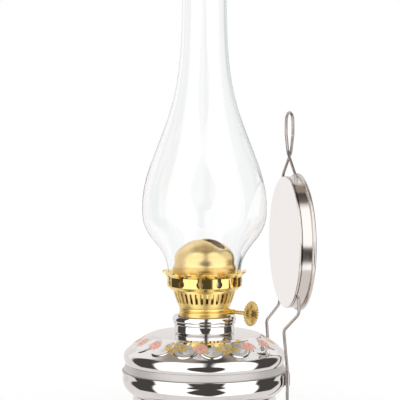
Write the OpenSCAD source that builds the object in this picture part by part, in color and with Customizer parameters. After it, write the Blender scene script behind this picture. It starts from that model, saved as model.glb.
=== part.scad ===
// Flat-wick kerosene lamp: a plated tin font on a spun foot, a screw-in brass burner
// with a slotted air basket, a pronged gallery and a slotted dome, a blown glass chimney,
// and a round reflector carried behind the glass on a bent wire that ends in a hanging loop.
// Millimetres. The origin is the centre of the foot on the table, +Z is up, the reflector
// stands on the +Y side and throws the light towards -Y.

/* [Font] */
// Diameter of the belly at its widest
belly_d = 89; // [76:0.2:104]
// Thickness of the pressed tin sheet
tin_t = 0.5; // [0.4:0.1:0.8]
// How far the foot stands inside the belly, on the radius
foot_in = 1.2; // [0:0.1:4]
// How far the waist is drawn in from the belly, on the radius
waist_in = 6; // [5:0.1:8]
// Height of the underside of the bowl above the table
foot_h = 14.9; // [10:0.1:24]
// Width of the flat hem that the lamp stands on
hem_w = 2.6; // [2:0.1:4]
// Radius that turns the belly under into the flat bottom
belly_round = 9.3; // [8.2:0.1:10.5]
// Height from the bottom of the belly's upright side up to the seam
belly_rise = 7.8; // [7:0.1:12]
// Radius that rolls the belly in towards the seam
belly_roll = 2.4; // [1.6:0.1:2.8]
// Height of the upright hem under the seam
seam_hem = 2.3; // [1.5:0.1:3]
// How far the seam stands inside the belly, on the radius
seam_in = 2; // [1.8:0.1:2.6]
// Depth of the shoulder's spigot inside the bowl
spigot_h = 3; // [2:0.1:5]
// How far the shoulder's edge stands inside the belly, on the radius
shoulder_in = 0.9; // [0.2:0.1:1.2]
// Radius of the shoulder's edge where it turns up into the slope
shoulder_round = 3.8; // [3:0.1:4.4]
// Radius of the shoulder's edge where it tucks in to the seam
shoulder_tuck = 8; // [7:0.1:14]
// Slope of the shoulder, in degrees from level
shoulder_slope = 33; // [28:0.1:40]
// Distance of the ridge inside the belly, where the shoulder turns level, on the radius
ridge_in = 16; // [13.6:0.1:18]
// Rise of the level top from its ridge to the collar
top_rise = 0.6; // [0.2:0.1:2]
// Number of embossed petals round the shoulder
petals = 16; // [8:1:24]
// Direction of the first petal, in degrees from +X
petal_angle = 18; // [0:1:45]
// Height of the embossing
petal_h = 0.6; // [0.3:0.05:0.8]

/* [Wick and winder] */
// Width of the flat wick, the size that the burner is made to
wick_w = 18; // [14:0.5:24]
// Thickness of the wick
wick_t = 2.5; // [2:0.1:3]
// Length of the wick
wick_l = 68; // [55:1:76]
// How far the wick stands out of its tube
wick_out = 1; // [0:0.1:3]
// Clearance round the wick in its tube
wick_gap = 0.2; // [0.1:0.05:0.3]
// Gap between the wick tube and the top of the dome
tube_gap = 6; // [5:0.1:9]
// Diameter of the winder shaft
shaft_d = 2; // [1.6:0.1:2.4]
// Tip radius of the toothed feed wheels
feed_r = 2.8; // [2.4:0.1:3.2]
// Number of teeth on a feed wheel
feed_teeth = 10; // [8:1:14]
// Thickness of a feed wheel
feed_t = 1.2; // [0.8:0.1:2]
// Distance between the two feed wheels
feed_pitch = 9; // [6:0.5:11]
// Direction of the winder shaft, in degrees from +X
winder_angle = 42; // [0:1:359]
// Distance of the thumbwheel outside the burner's neck
thumb_out = 14.2; // [12:0.1:20]
// Diameter of the thumbwheel
thumb_d = 13.4; // [11:0.1:15]
// Thickness of the thumbwheel
thumb_t = 1.1; // [0.8:0.1:2]
// Number of scallops round the thumbwheel
scallops = 20; // [12:1:26]

/* [Collar] */
// Room between the wick's edge and the wall of the screw hole
wick_room = 3; // [2.6:0.1:4]
// Height of the collar over the font
collar_h = 9.1; // [8.2:0.1:12]
// Width of the collar's flared lip outside the hole
lip_w = 5.2; // [4.4:0.1:7]
// Width of the collar's lower bulge outside the hole
bulge_w = 4.3; // [3.6:0.1:5]
// Depth of the burner's seat below the lip
seat_drop = 0.8; // [0.4:0.1:2]

/* [Burner] */
// Thickness of the pressed brass sheet
brass_t = 0.45; // [0.3:0.05:0.6]
// Clearance between the screw skirt and the collar
screw_gap = 0.15; // [0.1:0.05:0.3]
// Length of the screw skirt below the seat
skirt_h = 7.5; // [5:0.1:8.2]
// Thickness of the fibre washer under the burner
washer_t = 0.8; // [0.5:0.1:1.5]
// Thickness of the flange that clamps the washer
flange_t = 1; // [0.8:0.1:2]
// How far the neck stands outside the collar's hole, on the radius
neck_out = 1.1; // [0.8:0.1:1.6]
// Height of the neck, from the flange to the basket
neck_h = 3.4; // [3.2:0.1:5]
// How far the air basket flares from the neck, on the radius
basket_out = 3.75; // [3.2:0.05:5]
// Height of the basket
basket_h = 9.9; // [9:0.1:12]
// Height of the plain part of the basket, below its slots
slot_rise = 3.2; // [2.6:0.1:4]
// Number of air slots
slots = 34; // [16:1:40]
// Width of an air slot
slot_w = 1.2; // [0.8:0.1:1.8]
// Height of the rim that the dome fits over
rim_h = 2.6; // [2:0.1:4]

/* [Gallery] */
// Clearance between the prongs and the glass
fit_gap = 0.3; // [0.25:0.05:0.8]
// Width of the slope that centres the glass
bevel_w = 1.85; // [1.4:0.05:2.2]
// Height of the upright part of a prong
prong_h = 5.3; // [4.8:0.1:7]
// How far the prong tips flare out
flare = 2.8; // [1.5:0.1:3.5]
// Number of prongs
prongs = 12; // [6:1:14]
// Diameter of the round relief between two prongs
relief_d = 4; // [3:0.1:4.4]
// Width of the slit above each relief
slit_w = 2.8; // [1.5:0.1:3.1]

/* [Dome] */
// How far the dome stands outside the basket, on the radius
dome_out = 0.1; // [0:0.05:0.6]
// Height of the dome
dome_h = 26.6; // [23.5:0.1:32]
// Height of the wider band round the foot of the dome
band_h = 11.4; // [9:0.1:13.2]
// How far the dome's side stands inside its band, on the radius
dome_taper = 1.15; // [0.6:0.05:1.5]
// Radius of the dome's crown
crown_r = 21.5; // [20:0.1:30]
// Radius between the crown and the side
crown_round = 8; // [6:0.1:9.2]
// Length of the flame slot
flame_l = 23.6; // [21:0.1:26]
// Width of the flame slot
flame_w = 6.6; // [5:0.1:8]

/* [Chimney] */
// Thickness of the glass
glass_t = 1.6; // [1.2:0.1:2]
// Room between the dome and the glass
dome_room = 0.85; // [0.5:0.05:2]
// Diameter of the bulge
bulb_d = 67; // [60:1:76]
// Diameter of the top tube
tube_d = 23.8; // [20:0.2:30]
// Height of the chimney
chimney_h = 201.5; // [178:0.5:232]
// Height of the bulge above the chimney's foot
bulb_z = 42.9; // [38:0.1:50]
// Spread of the bulge downwards
bulb_low = 21.9; // [19:0.1:24]
// Spread of the bulge upwards
bulb_high = 47; // [38:0.5:55]

/* [Reflector] */
// Diameter of the reflector's face
face_d = 71.4; // [60:0.2:80]
// Depth of the reflector's rim
rim_depth = 7.6; // [6.5:0.1:12]
// How far the rim flares from front to back, on the radius
rim_flare = 0.1; // [0:0.1:2]
// Diameter of the rolled bead at the back
bead_d = 2; // [1.6:0.1:3]
// Depth of the dish in the face
dish = 1.6; // [0.5:0.1:2]
// Width of the flat border round the dish
border = 3; // [2:0.1:5]
// Height of the reflector's centre over the top of the font
reflector_rise = 48; // [44:0.5:60]
// How far the face stands inside the belly
reflector_in = 0.6; // [0:0.1:2]

/* [Bracket] */
// Diameter of the wire
wire_d = 1.6; // [1.2:0.1:2]
// Distance between the two legs in their sockets
legs = 42; // [36:1:52]
// Height of the lower end of the legs
leg_z = 6; // [3:0.5:12]
// How far below the reflector the legs step back to it
crank_drop = 5.4; // [5:0.1:9]
// Distance of the wire behind the reflector's face
wire_back = 3; // [2.7:0.1:4]
// Width of the hanging loop, centre to centre of the wire
loop_w = 12; // [10:0.2:18]
// Height of the top of the loop over the reflector
loop_rise = 34.5; // [30:0.5:45]
// Outside diameter of the socket tubes
socket_d = 2.6; // [2.4:0.1:4]
// Length of the socket tubes
socket_l = 6.7; // [5:0.1:10]
// Width of the plate that ties a socket to the belly
pad_w = 8; // [5:0.5:12]

/* [Hidden] */
$fn = 96;

// Clearances: parts that touch at rest, running fits, and pieces that lift apart
touch = 0.05;
running = 0.05;
lift_gap = 0.2;
// Margin by which a cutting tool passes the face that it cuts
cut = 1;
// The wire is a little thicker in its bends, and each straight length laps into them
bend_swell = 0.06;
bend_lap = 0.25;

// Radii and levels of the font
belly_r = belly_d / 2;
foot_r = belly_r - foot_in;
waist_r = belly_r - waist_in;
seam_r = belly_r - seam_in;
shoulder_r = belly_r - shoulder_in;
ridge_r = belly_r - ridge_in;
belly_z = foot_h + belly_round;
seam_z = belly_z + belly_rise;
edge_z = seam_z + shoulder_tuck / 2;
edge_r = shoulder_r - shoulder_round;
slope_r = edge_r + shoulder_round * sin(shoulder_slope);
slope_z = edge_z + shoulder_round * cos(shoulder_slope);
ridge_z = slope_z + (slope_r - ridge_r) * tan(shoulder_slope);
top_z = ridge_z + top_rise;

// Radii of the burner, outwards from the wick to the glass
bore_r = wick_w / 2 + wick_room;
skirt_r = bore_r - screw_gap;
skirt_wall = 0.7;
neck_r = bore_r + neck_out;
flange_r = neck_r + 0.6;
basket_r = neck_r + basket_out;
dome_r = basket_r + dome_out;
rim_seat_r = dome_r - brass_t - 0.35;
fit_r = dome_r + dome_room + glass_t;
gallery_r = fit_r + fit_gap + brass_t;
bevel_r = gallery_r - bevel_w;

// Levels of the collar and the burner
collar_z = top_z + collar_h;
seat_z = collar_z - seat_drop;
flange_z = seat_z + washer_t;
deck_z = flange_z - 0.9;
neck_z = flange_z + flange_t;
basket_z = neck_z + neck_h;
step_z = basket_z + basket_h;
gallery_z = step_z + brass_t;
prong_z = step_z + touch + bevel_w;
dome_top = gallery_z + dome_h;
band_z = gallery_z + band_h;

// Wick, its tube and the winder, along the burner's own X axis
tube_in_w = wick_w + 2 * wick_gap;
tube_in_t = wick_t + 2 * wick_gap;
tube_out_w = tube_in_w + 2 * brass_t;
tube_out_t = tube_in_t + 2 * brass_t;
tube_top = dome_top - tube_gap;
tube_bottom = seat_z - skirt_h + 1;
wick_top = tube_top + wick_out;
shaft_z = deck_z + brass_t + lift_gap + feed_r;
shaft_y = wick_t / 2 + lift_gap + feed_r;
neck_wall = neck_r - brass_t;
sleeve_d = shaft_d + 0.7;
sleeve_in = sqrt(pow(neck_wall, 2) - pow(shaft_y + sleeve_d / 2, 2)) - 0.6;
sleeve_out = neck_r + 3.5;
shaft_in = sqrt(pow(neck_wall, 2) - pow(shaft_y, 2)) + brass_t / 2;
thumb_reach = neck_r + thumb_out;

// Chimney, resting on the gallery's slope with its rounded end
glass_end = glass_t / 2;
bevel_top = step_z + touch + brass_t * sqrt(2);
chimney_z = bevel_top + fit_r - glass_end - bevel_r + glass_end * (sqrt(2) - 1) + lift_gap;

// Reflector and bracket
face_r = face_d / 2;
reflector_y = belly_r - reflector_in;
reflector_z = top_z + reflector_rise;
reflector_top = reflector_z + face_r;
crank_z = reflector_z - face_r - crank_drop;
loop_z = reflector_top + loop_rise;
leg_x = legs / 2;
socket_reach = belly_r + touch + tin_t + socket_d / 2 - 0.4;
leg_y = sqrt(pow(socket_reach, 2) - pow(leg_x, 2));
socket_z = belly_z - 2.4;
wire_y = reflector_y + wire_back;
cross_y = wire_d / 2 + touch;
cross_z = reflector_top + 13;
neck_line_x = face_r * 0.415;

// Points of an arc round (r, z), in n steps from angle a to angle b
function arc(r, z, radius, a, b, n = 8) =
    [for (i = [0:n]) let (t = a + (b - a) * i / n) [r + radius * cos(t), z + radius * sin(t)]];

// Unit direction of one step of an outline, and the normal on its right
function heading(p, q) = (q - p) / norm(q - p);
function right_of(v) = [v[1], -v[0]];

// An outline moved sideways by t, to the right of its direction, with mitred corners;
// a point on the axis stays on it
function beside(path, t) = [
    for (i = [0:len(path) - 1])
        let (
            before = heading(path[max(i - 1, 0)], path[max(i, 1)]),
            after = heading(path[min(i, len(path) - 2)], path[min(i + 1, len(path) - 1)]),
            mid = right_of(before) + right_of(after),
            moved = path[i] + mid * 2 * t / (mid * mid)
        )
        path[i][0] < 0.001 ? [0, path[i][1] + t * sign(mid[1])] : moved
];

function reversed(list) = [for (i = [len(list) - 1:-1:0]) list[i]];

// A pressed or spun sheet: its outer outline turned round the axis, t thick to the right
module sheet(path, t) {
    rotate_extrude() polygon(concat(path, reversed(beside(path, t))));
}

// A straight length of round stock between two points
module rod(a, b, d) {
    v = b - a;
    translate(a) rotate([0, acos(v[2] / norm(v)), atan2(v[1], v[0])]) cylinder(h = norm(v), d = d);
}

// Wire bent through a chain of corners, each rounded by its own radius
function turn_angle(a, b, c) = acos(heading(a, b) * heading(b, c));
function tangent_length(a, b, c, radius) = radius * tan(turn_angle(a, b, c) / 2);

module bend(a, b, c, radius, d) {
    u = heading(a, b);
    v = heading(b, c);
    angle = turn_angle(a, b, c);
    start = b - u * tangent_length(a, b, c, radius);
    inward = (v - u) / norm(v - u);
    centre = b + inward * radius / cos(angle / 2);
    e1 = (start - centre) / radius;
    n = cross(u, v) / norm(cross(u, v));
    e2 = cross(n, e1);
    multmatrix([
        [e1[0], e2[0], n[0], centre[0]],
        [e1[1], e2[1], n[1], centre[1]],
        [e1[2], e2[2], n[2], centre[2]],
        [0, 0, 0, 1],
    ])
        rotate_extrude(angle = angle) translate([radius, 0]) circle(d = d);
}

module bent_wire(points, radii, d) {
    last = len(points) - 1;
    trim = [for (i = [0:last]) i == 0 || i == last ? 0
        : tangent_length(points[i - 1], points[i], points[i + 1], radii[i])];
    for (i = [0:last - 1]) {
        u = heading(points[i], points[i + 1]);
        a = points[i] + u * (i == 0 ? 0 : trim[i] - bend_lap);
        b = points[i + 1] - u * (i + 1 == last ? 0 : trim[i + 1] - bend_lap);
        rod(a, b, d);
    }
    for (i = [1:last - 1]) bend(points[i - 1], points[i], points[i + 1], radii[i], d + bend_swell);
}

// The font

// Spun foot: a cup under the bowl, a hollow skirt and a flat turned-in hem
function foot_path() = concat(
    [[belly_r - belly_round - 2, foot_h - touch]],
    arc(belly_r - belly_round, belly_z, belly_round + touch, -90, -waist_a, 6),
    [for (i = [1:8]) let (s = i / 8)
        [waist_r + (foot_r - 0.4 - waist_r) * s * s, waist_z * (1 - s) + 1.4 * s]],
    arc(foot_r - 1, 1, 1, 20, -90, 6),
    [[foot_r - 1 - hem_w, 0]]
);
waist_a = acos((belly_round - waist_in) / belly_round);
waist_z = belly_z - belly_round * sin(waist_a);

module foot() {
    color("silver") sheet(foot_path(), tin_t);
}

// Bowl: flat bottom, belly with an upright side, and the hem that takes the shoulder
function bowl_path() = concat(
    [[0, foot_h]],
    arc(belly_r - belly_round, belly_z, belly_round, -90, 0, 12),
    arc(belly_r - belly_roll, seam_z - seam_hem - 1.4 * belly_roll, belly_roll, 0, 55, 6),
    [[seam_r, seam_z - seam_hem], [seam_r, seam_z]]
);

module bowl() {
    color("silver") sheet(bowl_path(), -tin_t);
}

// Shoulder: level top round the collar, sloping ring of petals, rolled edge and spigot
tuck_a = asin((edge_z - seam_z - touch) / shoulder_tuck);
spigot_r = seam_r - tin_t - touch;
function shoulder_path(rise = 0) = concat(
    [[bore_r + 1, top_z + rise], [ridge_r - 1.6, ridge_z + rise]],
    [[ridge_r + 1, ridge_z - tan(shoulder_slope) + rise]],
    arc(edge_r, edge_z + rise, shoulder_round, 90 - shoulder_slope, 0, 8),
    [for (i = [1:6]) let (a = tuck_a * i / 6)
        [shoulder_r - shoulder_tuck * (1 - cos(a)), edge_z + rise - shoulder_tuck * sin(a)]]
);

module petal() {
    outer_r = ridge_r + (slope_r - ridge_r) * 0.84;
    lobe_r = outer_r * sin(180 / petals) * 0.78;
    translate([outer_r - lobe_r, 0]) circle(r = lobe_r);
    polygon([
        [ridge_r + 0.4, -lobe_r * 0.5],
        [outer_r - lobe_r, -lobe_r],
        [outer_r - lobe_r, lobe_r],
        [ridge_r + 0.4, lobe_r * 0.5],
    ]);
}

module shoulder() {
    inset = shoulder_path()[len(shoulder_path()) - 1];
    color("gainsboro") {
        sheet(concat(shoulder_path(), [[spigot_r, inset[1]], [spigot_r, seam_z - spigot_h]]), tin_t);
        intersection() {
            sheet(shoulder_path(petal_h), petal_h + tin_t / 2);
            for (i = [0:petals - 1]) rotate(petal_angle + i * 360 / petals)
                translate([0, 0, seam_z]) linear_extrude(top_z - seam_z) petal();
        }
    }
}

// Collar soldered to the font, with two rolled screw ridges and a flared lip
module font_collar() {
    bulge_r = bore_r + bulge_w;
    lip_r = bore_r + lip_w;
    color("whitesmoke") rotate_extrude() polygon(concat(
        [[bore_r, top_z], [bulge_r - 0.6, top_z]],
        [[bulge_r - 0.6, top_z + 0.5], [bulge_r - 1.6, top_z + 0.9]],
        arc(bulge_r - 1.3, top_z + 2.3, 1.3, -60, 90, 8),
        arc(bulge_r - 0.5, top_z + 4.4, 0.6, -60, 75, 6),
        [[bulge_r - 0.6, top_z + 5.5]],
        arc(lip_r - 0.5, collar_z - 0.5, 0.5, -20, 150, 6),
        [[lip_r - 2.6, seat_z], [bore_r, seat_z]]
    ));
}

// Socket tube on a plate that follows the belly
module socket(side) {
    angle = atan2(leg_y, leg_x);
    out_path = [for (p = bowl_path()) if (p[0] > belly_r - belly_round) p];
    color("silver") mirror([side < 0 ? 1 : 0, 0, 0]) difference() {
        union() {
            intersection() {
                sheet(beside(out_path, touch + tin_t), -tin_t);
                rotate(angle) translate([0, -pad_w / 2, socket_z - 0.6])
                    cube([2 * belly_r, pad_w, socket_l + 1.2]);
            }
            translate([leg_x, leg_y, socket_z]) cylinder(h = socket_l, d = socket_d);
        }
        translate([leg_x, leg_y, socket_z - cut])
            cylinder(h = socket_l + 2 * cut, d = wire_d + 2 * running);
    }
}

module socket_left() socket(-1);
module socket_right() socket(1);

// The bracket and the reflector

// One leg from its lower end to the top of the loop; side is the side of the socket
function leg_points(side) = [
    [side * leg_x, leg_y, leg_z],
    [side * leg_x, leg_y, socket_z + socket_l + 1],
    [side * (leg_x - 1), leg_y - 1.8, crank_z - 4.4],
    [side * (leg_x + 1), wire_y, crank_z + 4.4],
    [side * neck_line_x, wire_y - side * cross_y * 0.2, reflector_top + 0.5],
    [0, wire_y - side * cross_y, cross_z],
    [-side * loop_w / 2, wire_y - side * cross_y * 0.5, loop_z - 11.5],
    [-side * loop_w / 2, wire_y - side * cross_y * 0.4, loop_z],
];
leg_radii = [0, 12, 3.5, 4.5, 6, 10, 8, loop_w / 2 - 0.6];
wire_points = concat(leg_points(1), reversed(leg_points(-1)));
wire_radii = concat(leg_radii, reversed(leg_radii));

module bracket_wire() {
    color("gray") bent_wire(wire_points, wire_radii, wire_d);
}

// Pan with a shallow dish, a flat border, a flared rim and a rolled bead, front towards -Y
dish_r = face_r - border;
dish_sphere = (pow(dish_r, 2) + pow(dish, 2)) / (2 * dish);
rim_r = face_r + rim_flare;
dish_a = asin(dish_r / dish_sphere);
function pan_path() = concat(
    [[0, -dish], [1.5, -dish]],
    arc(0, dish_sphere - dish, dish_sphere, -90 + dish_a / 10, -90 + dish_a, 9),
    arc(face_r - 0.8, -0.8, 0.8, 90, 0, 5),
    [[rim_r, -rim_depth]]
);

module reflector_pan() {
    color("lavender") difference() {
        translate([0, reflector_y, reflector_z]) rotate([90, 0, 0]) {
            sheet(pan_path(), tin_t);
            translate([0, 0, -rim_depth]) rotate_extrude()
                translate([rim_r + bead_d / 2 - tin_t * 0.6, 0]) circle(d = bead_d);
        }
        for (side = [-1, 1]) rod(leg_points(side)[3], leg_points(side)[4], wire_d + 4 * running);
    }
}

// The burner, in its own frame with the winder shaft along +X

module burner_frame() {
    rotate(winder_angle) children();
}

// Fibre washer between the collar's seat and the burner
module burner_washer() {
    color("tan") translate([0, 0, seat_z]) difference() {
        cylinder(h = washer_t, r = flange_r + 0.4);
        translate([0, 0, -cut]) cylinder(h = washer_t + 2 * cut, r = bore_r);
    }
}

// Screw skirt and flange
module burner_base() {
    color("gold") difference() {
        union() {
            translate([0, 0, seat_z - skirt_h]) cylinder(h = skirt_h + washer_t + flange_t, r = skirt_r);
            translate([0, 0, flange_z]) cylinder(h = flange_t, r = flange_r);
        }
        translate([0, 0, seat_z - skirt_h - cut])
            cylinder(h = skirt_h + washer_t + flange_t + 2 * cut, r = skirt_r - skirt_wall);
    }
}

// Rectangle with round ends, for the wick tube and its holes
module flat_oval(w, t) {
    square([w - t, t], center = true);
    for (s = [-1, 1]) translate([s * (w - t) / 2, 0]) circle(d = t);
}

vent_d = 3;
vent_y = -tube_out_t / 2 - vent_d / 2 - 0.8;

// Deck that closes the skirt and carries the wick tube and the vent
module burner_deck() {
    color("gold") burner_frame() translate([0, 0, deck_z]) linear_extrude(brass_t) difference() {
        circle(r = skirt_r - skirt_wall - touch);
        flat_oval(tube_out_w + 2 * touch, tube_out_t + 2 * touch);
        translate([0, vent_y]) circle(d = vent_d + 2 * touch);
    }
}

module vent_tube() {
    color("gold") burner_frame() translate([0, vent_y, flange_z - 3]) difference() {
        cylinder(h = 6, d = vent_d);
        translate([0, 0, -cut]) cylinder(h = 6 + 2 * cut, d = vent_d - 2 * brass_t);
    }
}

// Air basket: grooved neck, flaring slotted wall and the rim that the dome fits over
function basket_path() = concat(
    [[neck_r + 0.5, neck_z], [neck_r + 0.5, neck_z + 0.4], [neck_r, neck_z + 0.9]],
    [[neck_r, neck_z + 2.2], [neck_r + 0.4, basket_z - 0.6], [neck_r + 0.4, basket_z]],
    [for (i = [1:4]) let (s = i / 4)
        [neck_r + 0.2 + (basket_out - 0.2) * pow(sin(90 * s), 0.8), basket_z + (basket_h - 0.4) * s]],
    [[basket_r, step_z], [rim_seat_r, step_z], [rim_seat_r, step_z + rim_h]]
);

module air_slot() {
    low = basket_z + slot_rise;
    high = step_z - 0.6;
    translate([neck_r - 2, 0, (low + high) / 2])
        rotate([0, 90, 0]) linear_extrude(basket_out + 3) flat_oval(high - low, slot_w);
}

module along_shaft(x) {
    translate([x, shaft_y, shaft_z]) rotate([0, 90, 0]) children();
}

module air_basket() {
    color("goldenrod") burner_frame() difference() {
        rotate(180 / slots) sheet(basket_path(), -brass_t);
        for (i = [0:slots - 1]) rotate((i + 0.5) * 360 / slots) air_slot();
        along_shaft(0) cylinder(h = gallery_r, d = sleeve_d + 2 * touch);
        along_shaft(-gallery_r) cylinder(h = gallery_r, d = shaft_d + 2 * running);
    }
}

// Gallery: flat ring clamped on the basket, slope under the glass, and slit prongs
function gallery_path() = concat(
    [[rim_seat_r + touch, step_z + touch], [bevel_r, step_z + touch]],
    [[gallery_r, prong_z], [gallery_r, prong_z + prong_h]],
    [[gallery_r + flare * 0.4, prong_z + prong_h + 0.6], [gallery_r + flare, prong_z + prong_h + 2.2]]
);

module gallery() {
    color("gold") burner_frame() difference() {
        rotate(180 / prongs) sheet(gallery_path(), -brass_t);
        for (i = [0:prongs - 1]) rotate(i * 360 / prongs)
            translate([bevel_r, 0, prong_z + relief_d / 2 + 0.3])
                rotate([90, 0, 90]) linear_extrude(bevel_w + flare + cut) {
                    circle(d = relief_d);
                    translate([-slit_w / 2, 0]) square([slit_w, prong_h + flare + cut]);
                }
    }
}

// Dome with its flame slot; it lifts off the basket's rim
dome_side_r = dome_r - dome_taper;
corner_r = dome_side_r - crown_round;
crown_z = dome_top - crown_r;
corner_z = crown_z + sqrt(pow(crown_r - crown_round, 2) - pow(corner_r, 2));
corner_a = atan2(corner_z - crown_z, corner_r);
function dome_path() = concat(
    arc(0, crown_z, crown_r, 90, corner_a, 8),
    [for (i = [1:6]) let (a = corner_a * (1 - i / 6))
        [corner_r + crown_round * cos(a), corner_z + crown_round * sin(a)]],
    [[dome_side_r, band_z + 2.4], [dome_side_r + dome_taper * 0.3, band_z + 1.2]],
    [[dome_r - dome_taper * 0.1, band_z + 0.3], [dome_r, band_z - 0.6], [dome_r, gallery_z + 2 * touch]]
);

module burner_dome() {
    color("khaki") burner_frame() difference() {
        sheet(dome_path(), brass_t);
        translate([0, 0, corner_z]) linear_extrude(dome_top - corner_z + cut) flat_oval(flame_l, flame_w);
    }
}

// Flat wick tube with windows for the feed wheels
module wick_tube() {
    color("gold") burner_frame() difference() {
        translate([0, 0, tube_bottom]) linear_extrude(tube_top - tube_bottom) difference() {
            flat_oval(tube_out_w, tube_out_t);
            flat_oval(tube_in_w, tube_in_t);
        }
        for (s = [-1, 1]) along_shaft(s * feed_pitch / 2 - feed_t / 2 - lift_gap)
            cylinder(h = feed_t + 2 * lift_gap, r = feed_r + lift_gap);
    }
}

module winder_sleeve() {
    color("gold") burner_frame() difference() {
        along_shaft(sleeve_in) cylinder(h = sleeve_out - sleeve_in, d = sleeve_d);
        along_shaft(sleeve_in - cut)
            cylinder(h = sleeve_out - sleeve_in + 2 * cut, d = shaft_d + 2 * running);
    }
}

module winder_shaft() {
    color("peru") burner_frame() along_shaft(-shaft_in)
        cylinder(h = shaft_in + thumb_reach + thumb_t + 0.6, d = shaft_d);
}

// Toothed wheel that drives the wick
module feed_wheel(x) {
    color("peru") burner_frame() along_shaft(x - feed_t / 2) linear_extrude(feed_t) difference() {
        polygon([for (i = [0:2 * feed_teeth - 1])
            let (r = feed_r - 0.8 * (i % 2), a = 180 * i / feed_teeth)
            [r * cos(a), r * sin(a)]]);
        circle(d = shaft_d + touch);
    }
}

module feed_wheel_inner() feed_wheel(-feed_pitch / 2);
module feed_wheel_outer() feed_wheel(feed_pitch / 2);

// Scalloped thumbwheel with a raised hub and a sunk ring of rays
module thumbwheel() {
    color("goldenrod") burner_frame() along_shaft(thumb_reach) difference() {
        union() {
            linear_extrude(thumb_t) difference() {
                circle(d = thumb_d);
                for (i = [0:scallops - 1]) rotate((i + 0.5) * 360 / scallops)
                    translate([thumb_d / 2 + 0.25, 0]) circle(d = thumb_d * sin(180 / scallops) * 0.62);
            }
            translate([0, 0, -1.2]) cylinder(h = thumb_t + 1.5, d = shaft_d + 2);
        }
        translate([0, 0, thumb_t - 0.3]) linear_extrude(cut) difference() {
            circle(d = thumb_d - 3);
            circle(d = shaft_d + 2);
            for (i = [0:9]) rotate(i * 36)
                translate([thumb_d / 4, 0]) square([thumb_d / 2, 0.5], center = true);
        }
        translate([0, 0, -3 * cut]) cylinder(h = thumb_t + 6 * cut, d = shaft_d + touch);
    }
}

// Flat cotton wick
module wick() {
    color("ivory") burner_frame() translate([0, 0, wick_top - wick_l])
        linear_extrude(wick_l) flat_oval(wick_w, wick_t);
}

// Blown glass chimney: straight fitting end, bulge and tapering tube
bulb_r = bulb_d / 2;
tube_r = tube_d / 2;
function glass_r(z) = z < bulb_z
    ? fit_r + (bulb_r - fit_r) * exp(-pow((bulb_z - z) / bulb_low, 3.1))
    : tube_r + (bulb_r - tube_r) * exp(-pow((z - bulb_z) / bulb_high, 2));
glass_steps = 56;
function glass_path() = [
    for (i = [0:glass_steps])
        let (z = glass_t / 2 + (chimney_h - glass_t) * pow(i / glass_steps, 1.35))
        [glass_r(z), chimney_z + z]
];

module glass_chimney() {
    color("aliceblue", 0.4) {
        sheet(glass_path(), -glass_t);
        for (end = [0, glass_steps])
            translate([0, 0, glass_path()[end][1]]) rotate_extrude()
                translate([glass_path()[end][0] - glass_t / 2, 0]) circle(d = glass_t);
    }
}

foot();
bowl();
shoulder();
font_collar();
socket_left();
socket_right();
bracket_wire();
reflector_pan();
burner_washer();
burner_base();
burner_deck();
air_basket();
gallery();
wick_tube();
vent_tube();
winder_sleeve();
burner_dome();
winder_shaft();
feed_wheel_inner();
feed_wheel_outer();
thumbwheel();
wick();
glass_chimney();
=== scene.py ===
"""Looks of a flat-wick kerosene lamp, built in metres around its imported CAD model."""

import logging
import math
from collections.abc import Callable, Sequence
from dataclasses import dataclass, field
from enum import Enum
from functools import reduce

import bmesh
import bpy
from bpy.types import ID, Material, Mesh, Node, NodeSocket, NodeTree, Object
from mathutils import Matrix, Vector


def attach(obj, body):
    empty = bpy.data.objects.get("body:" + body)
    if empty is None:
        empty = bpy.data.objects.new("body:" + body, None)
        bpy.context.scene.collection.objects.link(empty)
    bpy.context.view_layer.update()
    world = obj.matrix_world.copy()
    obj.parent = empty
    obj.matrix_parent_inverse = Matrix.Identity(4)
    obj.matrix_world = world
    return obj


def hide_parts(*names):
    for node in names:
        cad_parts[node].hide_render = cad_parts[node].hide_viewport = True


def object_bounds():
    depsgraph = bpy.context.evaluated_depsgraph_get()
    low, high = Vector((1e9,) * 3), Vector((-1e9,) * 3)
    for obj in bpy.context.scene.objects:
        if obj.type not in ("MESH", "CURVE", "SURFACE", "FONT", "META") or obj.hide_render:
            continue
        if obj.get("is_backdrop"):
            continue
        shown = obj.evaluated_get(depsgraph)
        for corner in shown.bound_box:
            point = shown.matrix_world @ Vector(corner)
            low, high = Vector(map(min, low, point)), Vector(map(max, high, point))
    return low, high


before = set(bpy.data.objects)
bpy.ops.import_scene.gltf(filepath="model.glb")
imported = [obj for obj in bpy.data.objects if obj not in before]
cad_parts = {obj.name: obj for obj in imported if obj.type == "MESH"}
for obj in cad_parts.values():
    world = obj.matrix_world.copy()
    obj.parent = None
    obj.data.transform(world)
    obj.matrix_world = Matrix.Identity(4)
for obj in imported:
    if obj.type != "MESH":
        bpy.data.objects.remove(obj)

LOG = logging.getLogger("lamp")
MM = 0.001
DEGREES = 180 / math.pi
MERGE = 0.002 * MM
SHARP = math.radians(32)
WHITE = (1.0, 1.0, 1.0)

Point = tuple[float, float]
Place = tuple[float, float, float]
Colour = tuple[float, float, float]
Span = tuple[float, float]
Rows = Sequence[Sequence[Place]]


# Outlines, in millimetres


def clamp(value: float) -> float:
    """The value, held between 0 and 1."""
    return min(max(value, 0.0), 1.0)


def polar(r: float, turn: float, z: float) -> Place:
    """A point at a distance from the Z axis, in a direction in radians, at a height."""
    return r * math.cos(turn), r * math.sin(turn), z


def arc(r: float, z: float, radius: float, a: float, b: float, n: int) -> list[Point]:
    """Points of an arc about (r, z), from angle a to angle b in degrees, in n steps."""
    angles = [math.radians(a + (b - a) * i / n) for i in range(n + 1)]
    return [(r + radius * math.cos(t), z + radius * math.sin(t)) for t in angles]


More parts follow.
